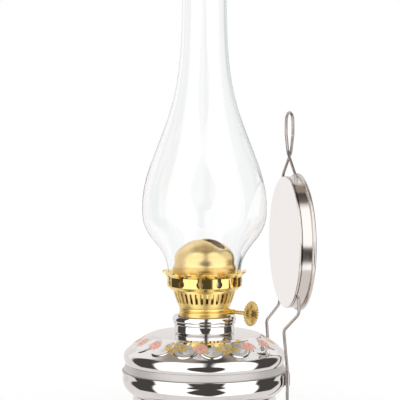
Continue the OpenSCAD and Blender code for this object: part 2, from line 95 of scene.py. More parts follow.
def bezier(a: Point, b: Point, c: Point, n: int) -> list[Point]:
    """A smooth turn from a to c that starts and ends towards b.

    Args:
        a: First point.
        b: Corner that the turn rounds off.
        c: Last point.
        n: Number of steps.

    Returns:
        n + 1 points from a to c.
    """
    points = []
    for i in range(n + 1):
        t = i / n
        w = ((1 - t) ** 2, 2 * t * (1 - t), t * t)
        points.append(tuple(w[0] * a[k] + w[1] * b[k] + w[2] * c[k] for k in (0, 1)))
    return points


def straight(a: Point, b: Point, n: int) -> list[Point]:
    """The points that split a straight run from a to b in n steps, without its two ends."""
    return [(a[0] + (b[0] - a[0]) * i / n, a[1] + (b[1] - a[1]) * i / n) for i in range(1, n)]


def beside(path: Sequence[Point], t: float) -> list[Point]:
    """An outline moved sideways with mitred corners.

    Args:
        path: The outline.
        t: Distance to the right of the outline's direction.

    Returns:
        The moved outline; a point on the axis stays on it.
    """
    last = len(path) - 1
    moved = []
    for i, (r, z) in enumerate(path):
        before = (path[max(i - 1, 0)], path[max(i, 1)])
        after = (path[min(i, last - 1)], path[min(i + 1, last)])
        mid = Vector((0.0, 0.0))
        for p, q in (before, after):
            along = (Vector(q) - Vector(p)).normalized()
            mid += Vector((along.y, -along.x))
        shift = mid * (2 * t / mid.length_squared)
        if r < MERGE:
            moved.append((0.0, z + math.copysign(t, mid.y * t)))
        else:
            moved.append((r + shift.x, z + shift.y))
    return moved


def sheet_outline(path: Sequence[Point], t: float) -> list[Point]:
    """Closed outline of a sheet: its visible side, and back at thickness t to its right."""
    return list(path) + beside(path, t)[::-1]


# Meshes


@dataclass
class Shape:
    """Vertices and faces that are gathered before they become a mesh."""

    vertices: list[Place] = field(default_factory=list)
    faces: list[tuple[int, ...]] = field(default_factory=list)

    def grid(self, rows: Rows, closed_rows: bool = False, closed_columns: bool = False) -> None:
        """Adds a grid of four-sided faces.

        Args:
            rows: Rows of points, all of one length.
            closed_rows: Whether the last row joins the first.
            closed_columns: Whether the last point of a row joins its first.
        """
        base, width = len(self.vertices), len(rows[0])
        for row in rows:
            self.vertices.extend(row)
        for j in range(len(rows) if closed_rows else len(rows) - 1):
            a, b = base + j * width, base + (j + 1) % len(rows) * width
            for k in range(width if closed_columns else width - 1):
                n = (k + 1) % width
                self.faces.append((a + k, a + n, b + n, b + k))

    def sheet(self, front: Rows, back: Rows, closed_columns: bool = False) -> None:
        """Adds both sides of a sheet and the edges at their first and last rows."""
        for rows in (front, back, [front[0], back[0]], [front[-1], back[-1]]):
            self.grid(rows, closed_columns=closed_columns)

    def lathe(self, outline: Sequence[Point], segments: int) -> None:
        """Turns a closed outline round the Z axis.

        Args:
            outline: Distance from the axis and height of each point, in millimetres.
            segments: Number of steps round the axis.
        """
        turns = [math.tau * k / segments for k in range(segments)]
        rows = [[polar(r, t, z) for t in turns] for r, z in outline]
        self.grid(rows, closed_rows=True, closed_columns=True)

    def mesh(self, name: str, place: Matrix | None = None) -> Mesh:
        """Makes a mesh in metres from the faces as they were added.

        Args:
            name: Name of the mesh.
            place: Where the shape goes, in millimetres; where it is by default.

        Returns:
            The mesh.
        """
        mesh = bpy.data.meshes.new(name)
        mesh.from_pydata(self.vertices, [], self.faces)
        mesh.transform(Matrix.Scale(MM, 4) @ (place or Matrix.Identity(4)))
        return mesh


def turned(name: str, outline: Sequence[Point], segments: int) -> Mesh:
    """Makes a turned piece.

    Args:
        name: Name of the mesh.
        outline: The piece's closed outline, in millimetres.
        segments: Number of steps round the axis.

    Returns:
        A closed mesh in metres.
    """
    shape = Shape()
    shape.lathe(outline, segments)
    return close_mesh(shape.mesh(name))


def smooth(mesh: Mesh) -> Mesh:
    """Smooths a mesh but for its sharp corners.

    Args:
        mesh: The mesh.

    Returns:
        The same mesh.
    """
    mesh.shade_smooth()
    mesh.set_sharp_from_angle(angle=SHARP)
    return mesh


def close_mesh(mesh: Mesh) -> Mesh:
    """Merges doubled points, turns faces outwards and smooths a mesh.

    Args:
        mesh: The mesh.

    Returns:
        The same mesh.
    """
    work = bmesh.new()
    work.from_mesh(mesh)
    bmesh.ops.remove_doubles(work, verts=work.verts, dist=MERGE)
    bmesh.ops.dissolve_degenerate(work, edges=work.edges, dist=MERGE / 4)
    bmesh.ops.recalc_face_normals(work, faces=work.faces)
    work.to_mesh(mesh)
    work.free()
    return smooth(mesh)


# Node trees


class Nodes:
    """A node tree that is built up node by node."""

    def __init__(self, tree: NodeTree) -> None:
        """Empties the tree and keeps it."""
        tree.nodes.clear()
        self.tree = tree

    def add(
        self, kind: str, sockets: dict[str | int, object] | None = None, **settings: object
    ) -> Node:
        """Adds a node.

        Args:
            kind: Type of the node.
            sockets: Values, sockets or signals for its inputs, by name or number.
            settings: The node's own settings, which are set first.

        Returns:
            The node.
        """
        node = self.tree.nodes.new(kind)
        for key, value in settings.items():
            setattr(node, key, value)
        for key, value in (sockets or {}).items():
            source = value.socket if isinstance(value, Signal) else value
            if isinstance(source, NodeSocket):
                self.tree.links.new(source, node.inputs[key])
            else:
                node.inputs[key].default_value = source
        return node


class Recipe(Nodes):
    """Geometry Nodes with named inputs, built once and run on one object at a time."""

    def __init__(self, name: str, inputs: dict[str, str]) -> None:
        """Starts a tree.

        Args:
            name: Name of the tree.
            inputs: Name and socket type of each input after the geometry.
        """
        super().__init__(bpy.data.node_groups.new(name, "GeometryNodeTree"))
        face = self.tree.interface
        for way in ("INPUT", "OUTPUT"):
            face.new_socket("Geometry", in_out=way, socket_type="NodeSocketGeometry")
        self.keys = {
            key: face.new_socket(key, in_out="INPUT", socket_type=kind).identifier
            for key, kind in inputs.items()
        }
        self.given = self.add("NodeGroupInput").outputs

    def maths(self, operation: str, a: object, b: object) -> NodeSocket:
        """One sum on two numbers, or on sockets with numbers."""
        return self.add("ShaderNodeMath", {0: a, 1: b}, operation=operation).outputs[0]

    def close(self, geometry: NodeSocket) -> None:
        """Ends the tree in real geometry with its material.

        Args:
            geometry: What the tree has made.
        """
        real = self.add("GeometryNodeRealizeInstances", {0: geometry}).outputs[0]
        near = {"Geometry": real, "Distance": MERGE}
        merged = self.add("GeometryNodeMergeByDistance", near).outputs[0]
        look = {"Geometry": merged, "Material": self.given["Material"]}
        dressed = self.add("GeometryNodeSetMaterial", look).outputs[0]
        self.add("NodeGroupOutput", {0: dressed})

    def run(self, source: Object, name: str, **values: object) -> Mesh:
        """Runs the tree on an object, which is then deleted.

        Args:
            source: The object that carries the geometry to work on.
            name: Name of the mesh to make.
            values: Values of the tree's inputs.

        Returns:
            The result as a plain closed mesh.
        """
        modifier = source.modifiers.new(self.tree.name, "NODES")
        modifier.node_group = self.tree
        for key, value in values.items():
            modifier[self.keys[key]] = value
        source.update_tag()
        ready = source.evaluated_get(bpy.context.evaluated_depsgraph_get())
        mesh = bpy.data.meshes.new_from_object(ready)
        source.modifiers.remove(modifier)
        bpy.data.objects.remove(source)
        mesh.name = name
        return close_mesh(mesh)


class RingRecipe(Recipe):
    """Repeats one sector of a pressed piece all round the Z axis."""

    def __init__(self) -> None:
        """Builds the tree: a turned copy of the sector on each of Count points."""
        inputs = {"Count": "NodeSocketInt", "Material": "NodeSocketMaterial"}
        super().__init__("ring_of_sectors", inputs)
        count = self.given["Count"]
        points = self.add("GeometryNodePoints", {"Count": count}).outputs[0]
        index = self.add("GeometryNodeInputIndex").outputs[0]
        angle = self.maths("MULTIPLY", self.maths("DIVIDE", index, count), math.tau)
        spin = {"Axis": (0, 0, 1), "Angle": angle}
        turn = self.add("FunctionNodeAxisAngleToRotation", spin).outputs[0]
        copies = {"Points": points, "Instance": self.given["Geometry"], "Rotation": turn}
        self.close(self.add("GeometryNodeInstanceOnPoints", copies).outputs[0])


class WireRecipe(Recipe):
    """Bends round wire along straight runs, each corner by the radius kept on its point."""

    def __init__(self) -> None:
        """Builds the tree: round off the corners, then sweep a circle along the line."""
        inputs = {
            "Thickness": "NodeSocketFloat",
            "Steps": "NodeSocketInt",
            "Material": "NodeSocketMaterial",
        }
        super().__init__("bent_wire", inputs)
        corners = {
            "Curve": self.given["Geometry"],
            "Radius": self.add("GeometryNodeInputRadius").outputs[0],
            "Count": self.given["Steps"],
            "Limit Radius": True,
        }
        rounded = self.add("GeometryNodeFilletCurve", corners, mode="POLY").outputs[0]
        plain = {"Curve": rounded, "Radius": 1.0}
        even = self.add("GeometryNodeSetCurveRadius", plain).outputs[0]
        radius = self.maths("MULTIPLY", self.given["Thickness"], 0.5)
        circle = {"Resolution": 20, "Radius": radius}
        section = self.add("GeometryNodeCurvePrimitiveCircle", circle).outputs[0]
        sweep = {"Curve": even, "Profile Curve": section, "Fill Caps": True}
        self.close(self.add("GeometryNodeCurveToMesh", sweep).outputs[0])


# Shaders


def math_node(operation: str, flipped: bool = False) -> Callable[..., "Signal"]:
    """Makes a method of Signal that adds one Math node.

    Args:
        operation: The node's operation.
        flipped: Whether the signal itself is the last term.

    Returns:
        The method, which takes the other terms and returns the result.
    """

    def method(self: "Signal", *others: "Signal | float") -> "Signal":
        """Adds the node.

        Args:
            others: The terms beside the signal.

        Returns:
            The node's result.
        """
        terms = (*others, self) if flipped else (self, *others)
        node = self.shader.add("ShaderNodeMath", dict(enumerate(terms)), operation=operation)
        return Signal(self.shader, node.outputs[0])

    return method


class Signal:
    """A shader socket that takes part in sums as a number does; angles are in radians."""

    def __init__(self, shader: "Shader", socket: NodeSocket) -> None:
        """Keeps a socket and the shader that it belongs to."""
        self.shader = shader
        self.socket = socket

    __add__ = __radd__ = math_node("ADD")
    __sub__ = math_node("SUBTRACT")
    __rsub__ = math_node("SUBTRACT", flipped=True)
    __mul__ = __rmul__ = math_node("MULTIPLY")
    __truediv__ = math_node("DIVIDE")
    __mod__ = math_node("MODULO")
    __abs__ = math_node("ABSOLUTE")
    sin = math_node("SINE")
    asin = math_node("ARCSINE")
    angle = math_node("ARCTAN2")
    round = math_node("ROUND")
    root = math_node("SQRT")
    larger = math_node("MAXIMUM")
    smaller = math_node("MINIMUM")

    def length(self, other: "Signal") -> "Signal":
        """Length of the vector (self, other)."""
        return (self * self + other * other).root()

    def step(self, low: float, high: float) -> "Signal":
        """A smooth step.

        Args:
            low: Where the step is 0.
            high: Where the step is 1; below low for a falling step.

        Returns:
            The step's value, from 0 to 1.
        """
        flip = high < low
        ends = {"From Min": min(low, high), "From Max": max(low, high), "Value": self}
        node = self.shader.add("ShaderNodeMapRange", ends, interpolation_type="SMOOTHSTEP")
        value = Signal(self.shader, node.outputs[0])
        return 1 - value if flip else value

    def between(self, rising: Span, falling: Span) -> "Signal":
        """A smooth step up and one down, each from where it is 0 to where it is 1."""
        return self.step(*rising) * self.step(*falling)


class Shader(Nodes):
    """Nodes of one material or world."""

    def coordinates(self) -> NodeSocket:
        """Object coordinates, which are those of the lamp at rest."""
        return self.add("ShaderNodeTexCoord").outputs["Object"]

    def axes(self, vector: NodeSocket) -> tuple[Signal, Signal, Signal]:
        """The three numbers of a vector."""
        node = self.add("ShaderNodeSeparateXYZ", {0: vector})
        return tuple(Signal(self, out) for out in node.outputs)

    def vector(self, *axes: Signal | float) -> NodeSocket:
        """A vector from three numbers."""
        return self.add("ShaderNodeCombineXYZ", dict(enumerate(axes))).outputs[0]

    def dot(self, vector: NodeSocket, axis: Vector) -> Signal:
        """Measures a vector along an axis.

        Args:
            vector: The vector.
            axis: The axis.

        Returns:
            The vector's share along it.
        """
        sockets = {0: vector, 1: tuple(axis)}
        node = self.add("ShaderNodeVectorMath", sockets, operation="DOT_PRODUCT")
        return Signal(self, node.outputs["Value"])

    def light_path(self, *names: str) -> list[Signal]:
        """What is known of the ray that reads the shader, by the names of the outputs."""
        path = self.add("ShaderNodeLightPath")
        return [Signal(self, path.outputs[name]) for name in names]

    def noise(self, vector: NodeSocket, scale: float, detail: float = 2.0) -> Signal:
        """Smooth noise about 0.5, with scale features in a unit and finer layers of detail."""
        sockets = {"Vector": vector, "Scale": scale, "Detail": detail}
        return Signal(self, self.add("ShaderNodeTexNoise", sockets).outputs[0])

    def mix(self, share: Signal, a: object, b: object) -> NodeSocket:
        """Mixes two colours.

        Args:
            share: Share of the second colour.
            a: First colour, or a socket with one.
            b: Second colour, or a socket with one.

        Returns:
            The mixed colour.
        """
        first, second = ((*c, 1.0) if isinstance(c, tuple) else c for c in (a, b))
        sockets = {0: share, 6: first, 7: second}
        return self.add("ShaderNodeMix", sockets, data_type="RGBA").outputs[2]

    def bump(self, height: Signal, depth: float) -> NodeSocket:
        """A normal tilted by relief from 0 to 1, where 1 stands for a depth in metres."""
        sockets = {"Strength": 1.0, "Distance": depth, "Height": height}
        return self.add("ShaderNodeBump", sockets).outputs[0]

    def surface(self, **sockets: object) -> None:
        """Closes a material with its main shader.

        Args:
            sockets: Inputs of the shader, with _ for a space in a name.
        """
        named = {key.replace("_", " "): value for key, value in sockets.items()}
        body = self.add("ShaderNodeBsdfPrincipled", named)
        self.add("ShaderNodeOutputMaterial", {"Surface": body.outputs[0]})


class Grain(Enum):
    """Which way a metal was worked: the number of its fine marks in a metre across them."""

    SPUN = 2600.0
    DRAWN = 5000.0
    PRESSED = 2400.0


@dataclass(frozen=True)
class Finish:
    """What every finish has: a name, the record's slot, and a way to make its material."""

    name: str
    slot: str

    def nodes(self, shader: Shader) -> None:
        """Builds the finish's nodes in an empty material."""
        raise NotImplementedError

    def material(self) -> Material:
        """Makes the finish's material when it is first asked for.

        Returns:
            The material.
        """
        found = bpy.data.materials.get(self.name)
        if found:
            return found
        material = bpy.data.materials.new(self.name)
        material.use_nodes = True
        self.nodes(Shader(material.node_tree))
        return material


@dataclass(frozen=True)
class Metal(Finish):
    """Bright sheet metal with faint working marks, smudges and a little tarnish.

    A satin band lies between two heights and has a painted shadow line at either edge; under a set
    height the metal has a darker tint, a painted reflection of the gallery's brass.  These heights
    are in millimetres.
    """

    colour: Colour
    shade: Colour
    rough: float
    grain: Grain = Grain.SPUN
    marks: float = 0.0000035
    smudge: float = 0.06
    satin: Span | None = None
    # Height and tint of a painted reflection of the gallery's brass, below that height
    gallery_reflection: tuple[float, Colour] | None = None
    # Colour of the painted shadow lines along both edges of the satin band
    seam_shadow: Colour = (0.14, 0.125, 0.115)
    drawn_run: float = 160.0
    clouds: float = 55.0
    stains: Span = (0.52, 0.78)
    stain_share: float = 0.6
    line_share: float = 0.12
    satin_rough: float = 0.4
    satin_grey: float = 0.6
    satin_fade: float = 0.2
    seam_shadow_share: float = 0.75
    gallery_reflection_fade: float = 0.6

    def worked(self, shader: Shader) -> dict[str, object]:
        """Colour, roughness and relief of the bare metal.

        Args:
            shader: The material to build in.

        Returns:
            Values for the main shader's inputs.
        """
        place = shader.coordinates()
        x, y, z = shader.axes(place)
        fine = self.grain.value
        if self.grain is Grain.SPUN:
            lines = shader.noise(shader.vector(x.length(y) * fine, z * fine, 0.0), 1.0, 3.0)
        elif self.grain is Grain.DRAWN:
            lines = shader.noise(shader.vector(x * fine, y * fine, z * self.drawn_run), 1.0)
        else:
            lines = shader.noise(place, fine)
        stain = shader.noise(place, self.clouds, 3.0).step(*self.stains)
        rough = self.rough + (lines - 0.5) * (self.rough * 0.5) + stain * self.smudge
        metallic: Signal | float = 1.0
        seam_shadows: Signal | None = None
        if self.satin:
            low, high = (level * MM for level in self.satin)
            fade = self.satin_fade * MM
            dull = z.between((low - fade, low), (high + fade, high))
            # Painted shadow lines along both edges of the satin band
            seam_shadows = abs(z - low).step(0.35 * MM, 0.1 * MM)
            seam_shadows = seam_shadows.larger(abs(z - high).step(0.3 * MM, 0.1 * MM))
            rough = rough + dull * self.satin_rough
            stain = stain.larger(dull)
            metallic = 1 - dull * self.satin_grey
        share = stain * self.stain_share + lines * self.line_share
        colour = shader.mix(share, self.colour, self.shade)
        if seam_shadows is not None:
            colour = shader.mix(seam_shadows * self.seam_shadow_share, colour, self.seam_shadow)
        # Below a set height the colour turns darker and warmer: a painted reflection of the brass
        # gallery
        if self.gallery_reflection:
            level, tint = self.gallery_reflection
            ends = (level + self.gallery_reflection_fade) * MM, (level - self.gallery_reflection_fade) * MM
            colour = shader.mix(z.step(*ends), colour, tint)
        return {
            "Base_Color": colour,
            "Metallic": metallic,
            "Roughness": rough,
            "Normal": shader.bump(lines, self.marks),
        }

    def nodes(self, shader: Shader) -> None:
        """Builds the bare metal."""
        shader.surface(**self.worked(shader))


@dataclass(frozen=True)
class RimmedMetal(Metal):
    """A polished face whose turned-back rim was left brushed, its darker colour partly painted
    shade; sizes in millimetres.
    """

    # The rim's darker colour: partly brushed metal, partly painted shade
    rim: Colour = (0.66, 0.61, 0.575)
    # Colour of the painted shadow line in the crease where the rim turns back
    crease_shadow: Colour = (0.10, 0.09, 0.085)
    face_r: float = 35.7
    dish_r: float = 32.7
    dish: float = 1.6
    middle: Point = (43.9, 96.47)
    rim_fade: Span = (0.5, 0.1)
    rear_fade: Span = (0.15, 0.35)
    streaks: float = 3.2
    crease_shadow_back: float = 1.3
    crease_shadow_fade: Span = (0.35, 0.15)
    rim_rough: float = 0.03
    rear_rough: float = 0.4

    def worked(self, shader: Shader) -> dict[str, object]:
        """Colour, roughness and relief, with the rim's darker colour, partly painted shade, round
        the face.

        Args:
            shader: The material to build in.

        Returns:
            Values for the main shader's inputs.
        """
        base = super().worked(shader)
        x, y, z = (axis / MM for axis in shader.axes(shader.coordinates()))
        back, lift = y - self.middle[0], z - self.middle[1]
        out = x.length(lift)
        rim = out.step(*(self.face_r - inside for inside in self.rim_fade))
        hollow = (1 - out * out / (self.dish_r * self.dish_r)).larger(0.0) * self.dish
        rear = (back - hollow).step(*self.rear_fade) * (1 - rim)
        streaks = shader.noise(shader.vector(0.0, back * self.streaks, 0.0), 1.0)
        # Streaked darker rim colour: partly brushed metal, partly painted shade
        brushed = rim * (streaks * 1.2 + 0.3).smaller(1.0)
        colour = shader.mix(brushed, base["Base_Color"], self.rim)
        # Painted shadow line along the crease where the rim turns back
        crease_shadow = rim * abs(back - self.crease_shadow_back).step(*self.crease_shadow_fade)
        base["Base_Color"] = shader.mix(crease_shadow, colour, self.crease_shadow)
        base["Roughness"] = base["Roughness"] + rim * self.rim_rough + rear * self.rear_rough
        return base


@dataclass(frozen=True)
class Leaf:
    """One leaf of a printed spray: its middle, its turn in degrees and its half sizes."""

    across: float
    out: float
    turn: float
    long: float
    wide: float


LEAVES = (
    Leaf(-3.3, 0.9, 40, 3.0, 1.5),
    Leaf(0.4, 2.1, -18, 3.1, 1.5),
    Leaf(3.5, -0.2, 62, 2.9, 1.4),
    Leaf(-0.6, -1.6, 14, 2.7, 1.3),
    Leaf(6.4, 0.9, 30, 2.8, 1.3),
)
SEEDS = ((-3.4, 3.6), (0.6, 3.5), (-5.2, 0.4), (0.2, -0.3))


@dataclass(frozen=True)
class PrintedMetal(Metal):
    """Plated sheet with a ring of printed blossoms and leaf sprays round the shoulder.

    Places on a print are in millimetres from its middle: across goes round the lamp, out goes
    away from its axis.  Wander is a small unevenness about 0.
    """

    prints: int = 16
    first: float = 8.0
    middle: int = -1
    spray_every: float = 3.0
    ring_r: float = 34.5
    wander: float = 2.4
    drift: float = 1.6
    blossom: Point = (4.5, 3.3)
    seed: Span = (0.34, 0.22)
    cover: float = 0.95
    line_cover: float = 0.8
    ink_rough: float = 0.2
    ink: Colour = (0.78, 0.25, 0.16)
    pale_ink: Colour = (0.86, 0.47, 0.37)
    leaf_ink: Colour = (0.80, 0.55, 0.15)
    line_ink: Colour = (0.15, 0.08, 0.04)

    def nodes(self, shader: Shader) -> None:
        """Builds the plated metal with the print on it.

        Args:
            shader: The empty material to build in.
        """
        base = self.worked(shader)
        place = shader.coordinates()
        x, y, _ = (axis / MM for axis in shader.axes(place))
        pitch = math.tau / self.prints
        angle = y.angle(x) - math.radians(self.first)
        number = (angle / pitch).round()
        wander = shader.noise(place, 420.0) - 0.5
        drift = shader.noise(shader.vector(y / 2, x / 2, number), 1.0, 1.0) - 0.5
        across = (angle - number * pitch) * self.ring_r + wander * self.wander
        out = x.length(y) - self.ring_r + drift * self.drift
        spray = 1 - abs(abs(number - self.middle) % self.spray_every - 1.0).smaller(1.0)
        bare = 1 - spray
        brush = shader.vector(across * 0.55 + out * 0.25, out * 2.1 - across * 0.9, number)
        strokes = shader.noise(brush, 1.0)
        blossom, rim = self._blossom(across, out, wander)
        leaves, veins = self._leaves(across, out, wander)
        blossom = blossom * bare * strokes.step(0.30, 0.46)
        leaves = leaves * spray * strokes.step(0.26, 0.42)
        lines = (rim * bare * 0.6).larger(veins * spray) * drift.step(-0.12, 0.10)
        lines = lines.larger(self._seeds(across, out) * bare)
        colour = shader.mix(leaves * self.cover, base["Base_Color"], self.leaf_ink)
        petal = shader.mix(strokes.step(0.44, 0.62), self.pale_ink, self.ink)
        colour = shader.mix(blossom * self.cover, colour, petal)
        base["Base_Color"] = shader.mix(lines * self.line_cover, colour, self.line_ink)
        matt = (blossom * 0.85).larger(leaves * 0.35).larger(lines * self.line_cover)
        base["Metallic"] = 1 - matt
        inked = blossom.larger(leaves).larger(lines)
        base["Roughness"] = base["Roughness"] + inked * self.ink_rough
        shader.surface(**base)

    def _blossom(self, across: Signal, out: Signal, wander: Signal) -> tuple[Signal, Signal]:
        """A loosely brushed blossom and the thin line round it.

        Args:
            across: Place round the lamp.
            out: Place outwards.
            wander: Unevenness.

        Returns:
            Cover of the blossom, and of the line.
        """
        u, v = across / self.blossom[0], out / self.blossom[1]
        edge = 0.82 + 0.16 * abs((v.angle(u) * 2.5 + 0.5).sin()) + wander * 0.5
        inside = edge - u.length(v)
        return inside.step(0.0, 0.10), abs(inside + 0.04).step(0.07, 0.02)

    def _leaves(self, across: Signal, out: Signal, wander: Signal) -> tuple[Signal, Signal]:
        """A spray of leaves with their outlines and ribs.

        Args:
            across: Place round the lamp.
            out: Place outwards.
            wander: Unevenness.

        Returns:
            Cover of the leaves, and of the thin dark lines on them.
        """
        covers, lines = [], []
        for leaf in LEAVES:
            c, s = math.cos(math.radians(leaf.turn)), math.sin(math.radians(leaf.turn))
            a, o = across - leaf.across, out - leaf.out
            u = a * (c / leaf.long) + o * (s / leaf.long)
            v = o * (c / leaf.wide) - a * (s / leaf.wide)
            reach = u.length(v) + wander * 0.5
            cover = reach.step(1.0, 0.86)
            rib = abs(v).step(0.12, 0.04) * cover
            covers.append(cover)
            lines.append(abs(reach - 1.0).step(0.13, 0.04).larger(rib))
        return reduce(Signal.larger, covers), reduce(Signal.larger, lines)

    def _seeds(self, across: Signal, out: Signal) -> Signal:
        """Cover of a few dark seeds beside a blossom."""
        seeds = [(across - a).length(out - o).step(*self.seed) for a, o in SEEDS]
        return reduce(Signal.larger, seeds)


@dataclass(frozen=True)
class Glass(Finish):
    """Clear blown glass with a cool tint in its thickness and faint draw lines."""

    tint: Colour = (0.994, 0.997, 0.998)
    index: float = 1.47
    draw: Span = (60.0, 9.0)
    draw_depth: float = 0.00008
    film: float = 40.0
    film_span: Span = (0.55, 0.85)
    film_rough: float = 0.012

    def nodes(self, shader: Shader) -> None:
        """Builds the clear glass.

        Args:
            shader: The empty material to build in.
        """
        place = shader.coordinates()
        x, y, z = shader.axes(place)
        fine, long = self.draw
        waves = shader.noise(shader.vector(x * fine, y * fine, z * long), 1.0, 1.0)
        film = shader.noise(place, self.film).step(*self.film_span)
        shader.surface(
            Base_Color=(*self.tint, 1.0),
            Roughness=film * self.film_rough,
            IOR=self.index,
            Transmission_Weight=1.0,
            Normal=shader.bump(waves, self.draw_depth),
        )


@dataclass(frozen=True)
class Cotton(Finish):
    """Flat woven cotton tape: ribs along its length, picks across, and fine fibres."""

    colour: Colour = (0.74, 0.69, 0.56)
    # Colour of the weave's low parts, partly painted shade in its hollows
    shade: Colour = (0.50, 0.44, 0.32)
    rib: float = 1.0
    pick: float = 0.6
    turn: float = 42.0
    fibres: float = 4200.0
    shares: tuple[float, float, float] = (0.55, 0.3, 0.3)
    shade_span: Span = (0.25, 0.85)
    depth: float = 0.00025
    rough: float = 0.9
    sheen: float = 0.25

    def nodes(self, shader: Shader) -> None:
        """Builds the woven tape.

        Args:
            shader: The empty material to build in.
        """
        place = shader.coordinates()
        x, y, z = shader.axes(place)
        c, s = math.cos(math.radians(self.turn)), math.sin(math.radians(self.turn))
        width = (x * c + y * s) / (self.rib * MM)
        height = z / (self.rib * MM * self.pick)
        warp = (width * math.pi).sin() * 0.5 + 0.5
        pick = ((height + width.round() * 0.5) * math.tau).sin() * 0.5 + 0.5
        fibre = shader.noise(place, self.fibres, 3.0)
        relief = warp * self.shares[0] + pick * self.shares[1] + fibre * self.shares[2]
        # The low parts of the weave take the darker colour: painted shade in its hollows, mixed
        # with the fibres' own uneven tone
        colour = shader.mix(relief.step(*self.shade_span), self.shade, self.colour)
        shader.surface(
            Base_Color=colour,
            Roughness=self.rough,
            Normal=shader.bump(relief, self.depth),
            Sheen_Weight=self.sheen,
        )


@dataclass(frozen=True)
class Fibre(Finish):
    """Pressed fibre washer."""

    colour: Colour = (0.36, 0.26, 0.17)
    shade: Colour = (0.20, 0.13, 0.08)
    flecks: float = 2600.0
    fleck_span: Span = (0.35, 0.65)
    rough: float = 0.75
    fleck_rough: float = 0.15
    depth: float = 0.00006

    def nodes(self, shader: Shader) -> None:
        """Builds the pressed fibre.

        Args:
            shader: The empty material to build in.
        """
        place = shader.coordinates()
        fleck = shader.noise(place, self.flecks, 4.0)
        colour = shader.mix(fleck.step(*self.fleck_span), self.shade, self.colour)
        shader.surface(
            Base_Color=colour,
            Roughness=self.rough + fleck * self.fleck_rough,
            Normal=shader.bump(fleck, self.depth),
        )


PLATE = (0.80, 0.785, 0.775)
PLATE_SHADE = (0.73, 0.705, 0.69)
HEM_SHADE = (0.58, 0.54, 0.525)
NICKEL = Metal("nickel_plate", "nickel", PLATE, PLATE_SHADE, 0.05)
HEMMED = Metal("hemmed_nickel_plate", "nickel", PLATE, HEM_SHADE, 0.05, satin=(28.5, 32.4))
PRINTED = PrintedMetal("printed_nickel_plate", "nickel", PLATE, PLATE_SHADE, 0.06)
SOCKET = Metal("socket_plate", "nickel", (0.52, 0.48, 0.46), (0.38, 0.34, 0.31), 0.18)
WIRE = Metal(
    "drawn_plated_wire", "plated_wire", (0.46, 0.425, 0.405), (0.33, 0.29, 0.265), 0.14, Grain.DRAWN
)
MIRROR = RimmedMetal(
    "polished_reflector", "mirror_tin", (1.0, 1.0, 0.995), (0.985, 0.98, 0.975), 0.08, Grain.PRESSED
)
BRASS = Metal("polished_brass", "brass", (0.98, 0.74, 0.27), (0.86, 0.59, 0.16), 0.10)
SOFT_BRASS = Metal("soft_brass", "brass", (0.98, 0.75, 0.29), (0.88, 0.61, 0.18), 0.34)
WORN_BRASS = Metal("worn_brass", "brass", (0.64, 0.45, 0.16), (0.48, 0.32, 0.10), 0.30)
SATIN_BRASS = Metal(
    "satin_brass_dome",
    "brass",
    (0.96, 0.73, 0.31),
    (0.86, 0.60, 0.20),
    0.28,
    # Painted reflection of the gallery's brass on the dome below its band
    gallery_reflection=(84.6, (0.78, 0.51, 0.15)),
)
BRASS_ROD = Metal(
    "drawn_brass", "brass_rod", (0.88, 0.61, 0.22), (0.72, 0.46, 0.14), 0.30, Grain.DRAWN
)
GLASS = Glass("clear_blown_glass", "clear_glass")
COTTON = Cotton("woven_cotton", "cotton")
FIBRE = Fibre("pressed_fibre", "fibre")


# Sub-assemblies


def add_object(name: str, data: ID) -> Object:
    """Puts data in the scene as an object at the origin.

    Args:
        name: Name of the object.
        data: Its mesh, curve or camera.

    Returns:
        The object.
    """
    made = bpy.data.objects.new(name, data)
    bpy.context.scene.collection.objects.link(made)
    return made


class Assembly:
    """What every sub-assembly does with a finished mesh."""

    def piece(self, name: str, mesh: Mesh, finish: Finish, body: str, *nodes: str) -> None:
        """Puts a mesh on the lamp.

        Args:
            name: Name of the piece.
            mesh: Its mesh, in metres and in place.
            finish: Its finish.
            body: The CAD body that it moves with.
            nodes: The CAD nodes that it stands for.
        """
        mesh.materials.clear()
        mesh.materials.append(finish.material())
        made = add_object(name, mesh)
        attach(made, body)
        if nodes:
            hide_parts(*nodes)
        LOG.info("%s: %d faces on %s", name, len(mesh.polygons), body)

    def dress(self, finish: Finish, *nodes: str) -> None:
        """Gives CAD nodes their finish.

        Args:
            finish: The finish.
            nodes: The nodes that it goes on.
        """
        for node in nodes:
            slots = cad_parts[node].data.materials
            slots.clear()
            slots.append(finish.material())
            LOG.info("%s: CAD node in %s", node, finish.name)

    def sector(self, shape: Shape, name: str, count: int, finish: Finish) -> Mesh:
        """Repeats one sector, in millimetres, as a closed ring of count sectors."""
        source = add_object(name + "_sector", shape.mesh(name))
        return RingRecipe().run(source, name, Count=count, Material=finish.material())


def pierced_sector(
    path: Sequence[Point], t: float, half: float, gaps: Sequence[float], columns: int
) -> Shape:
    """One sector of a sheet with an opening in its middle.

    Args:
        path: The sheet's outer side, in millimetres.
        t: Its thickness, to the right of the path's direction.
        half: Half of the sector, in radians.
        gaps: Half of the opening's width at each point of the path, in millimetres.
        columns: Number of columns between the opening and the sector's side.

    Returns:
        Both sides of the sheet, its two ends and the walls of the opening.
    """
    shape = Shape()
    sides = [list(path), beside(path, t)]
    for hand in (-1, 1):
        faces = []
        for side in sides:
            rows = []
            for (r, z), g in zip(side, gaps):
                start = math.asin(min(g / r, 1.0))
                turns = [hand * (start + (half - start) * k / columns) for k in range(columns + 1)]
                rows.append([polar(r, a, z) for a in turns])
            faces.append(rows)
        shape.sheet(*faces)
        for i in range(len(path) - 1):
            if gaps[i] > 0 or gaps[i + 1] > 0:
                shape.grid([[rows[k][0] for rows in faces] for k in (i, i + 1)])
    return shape


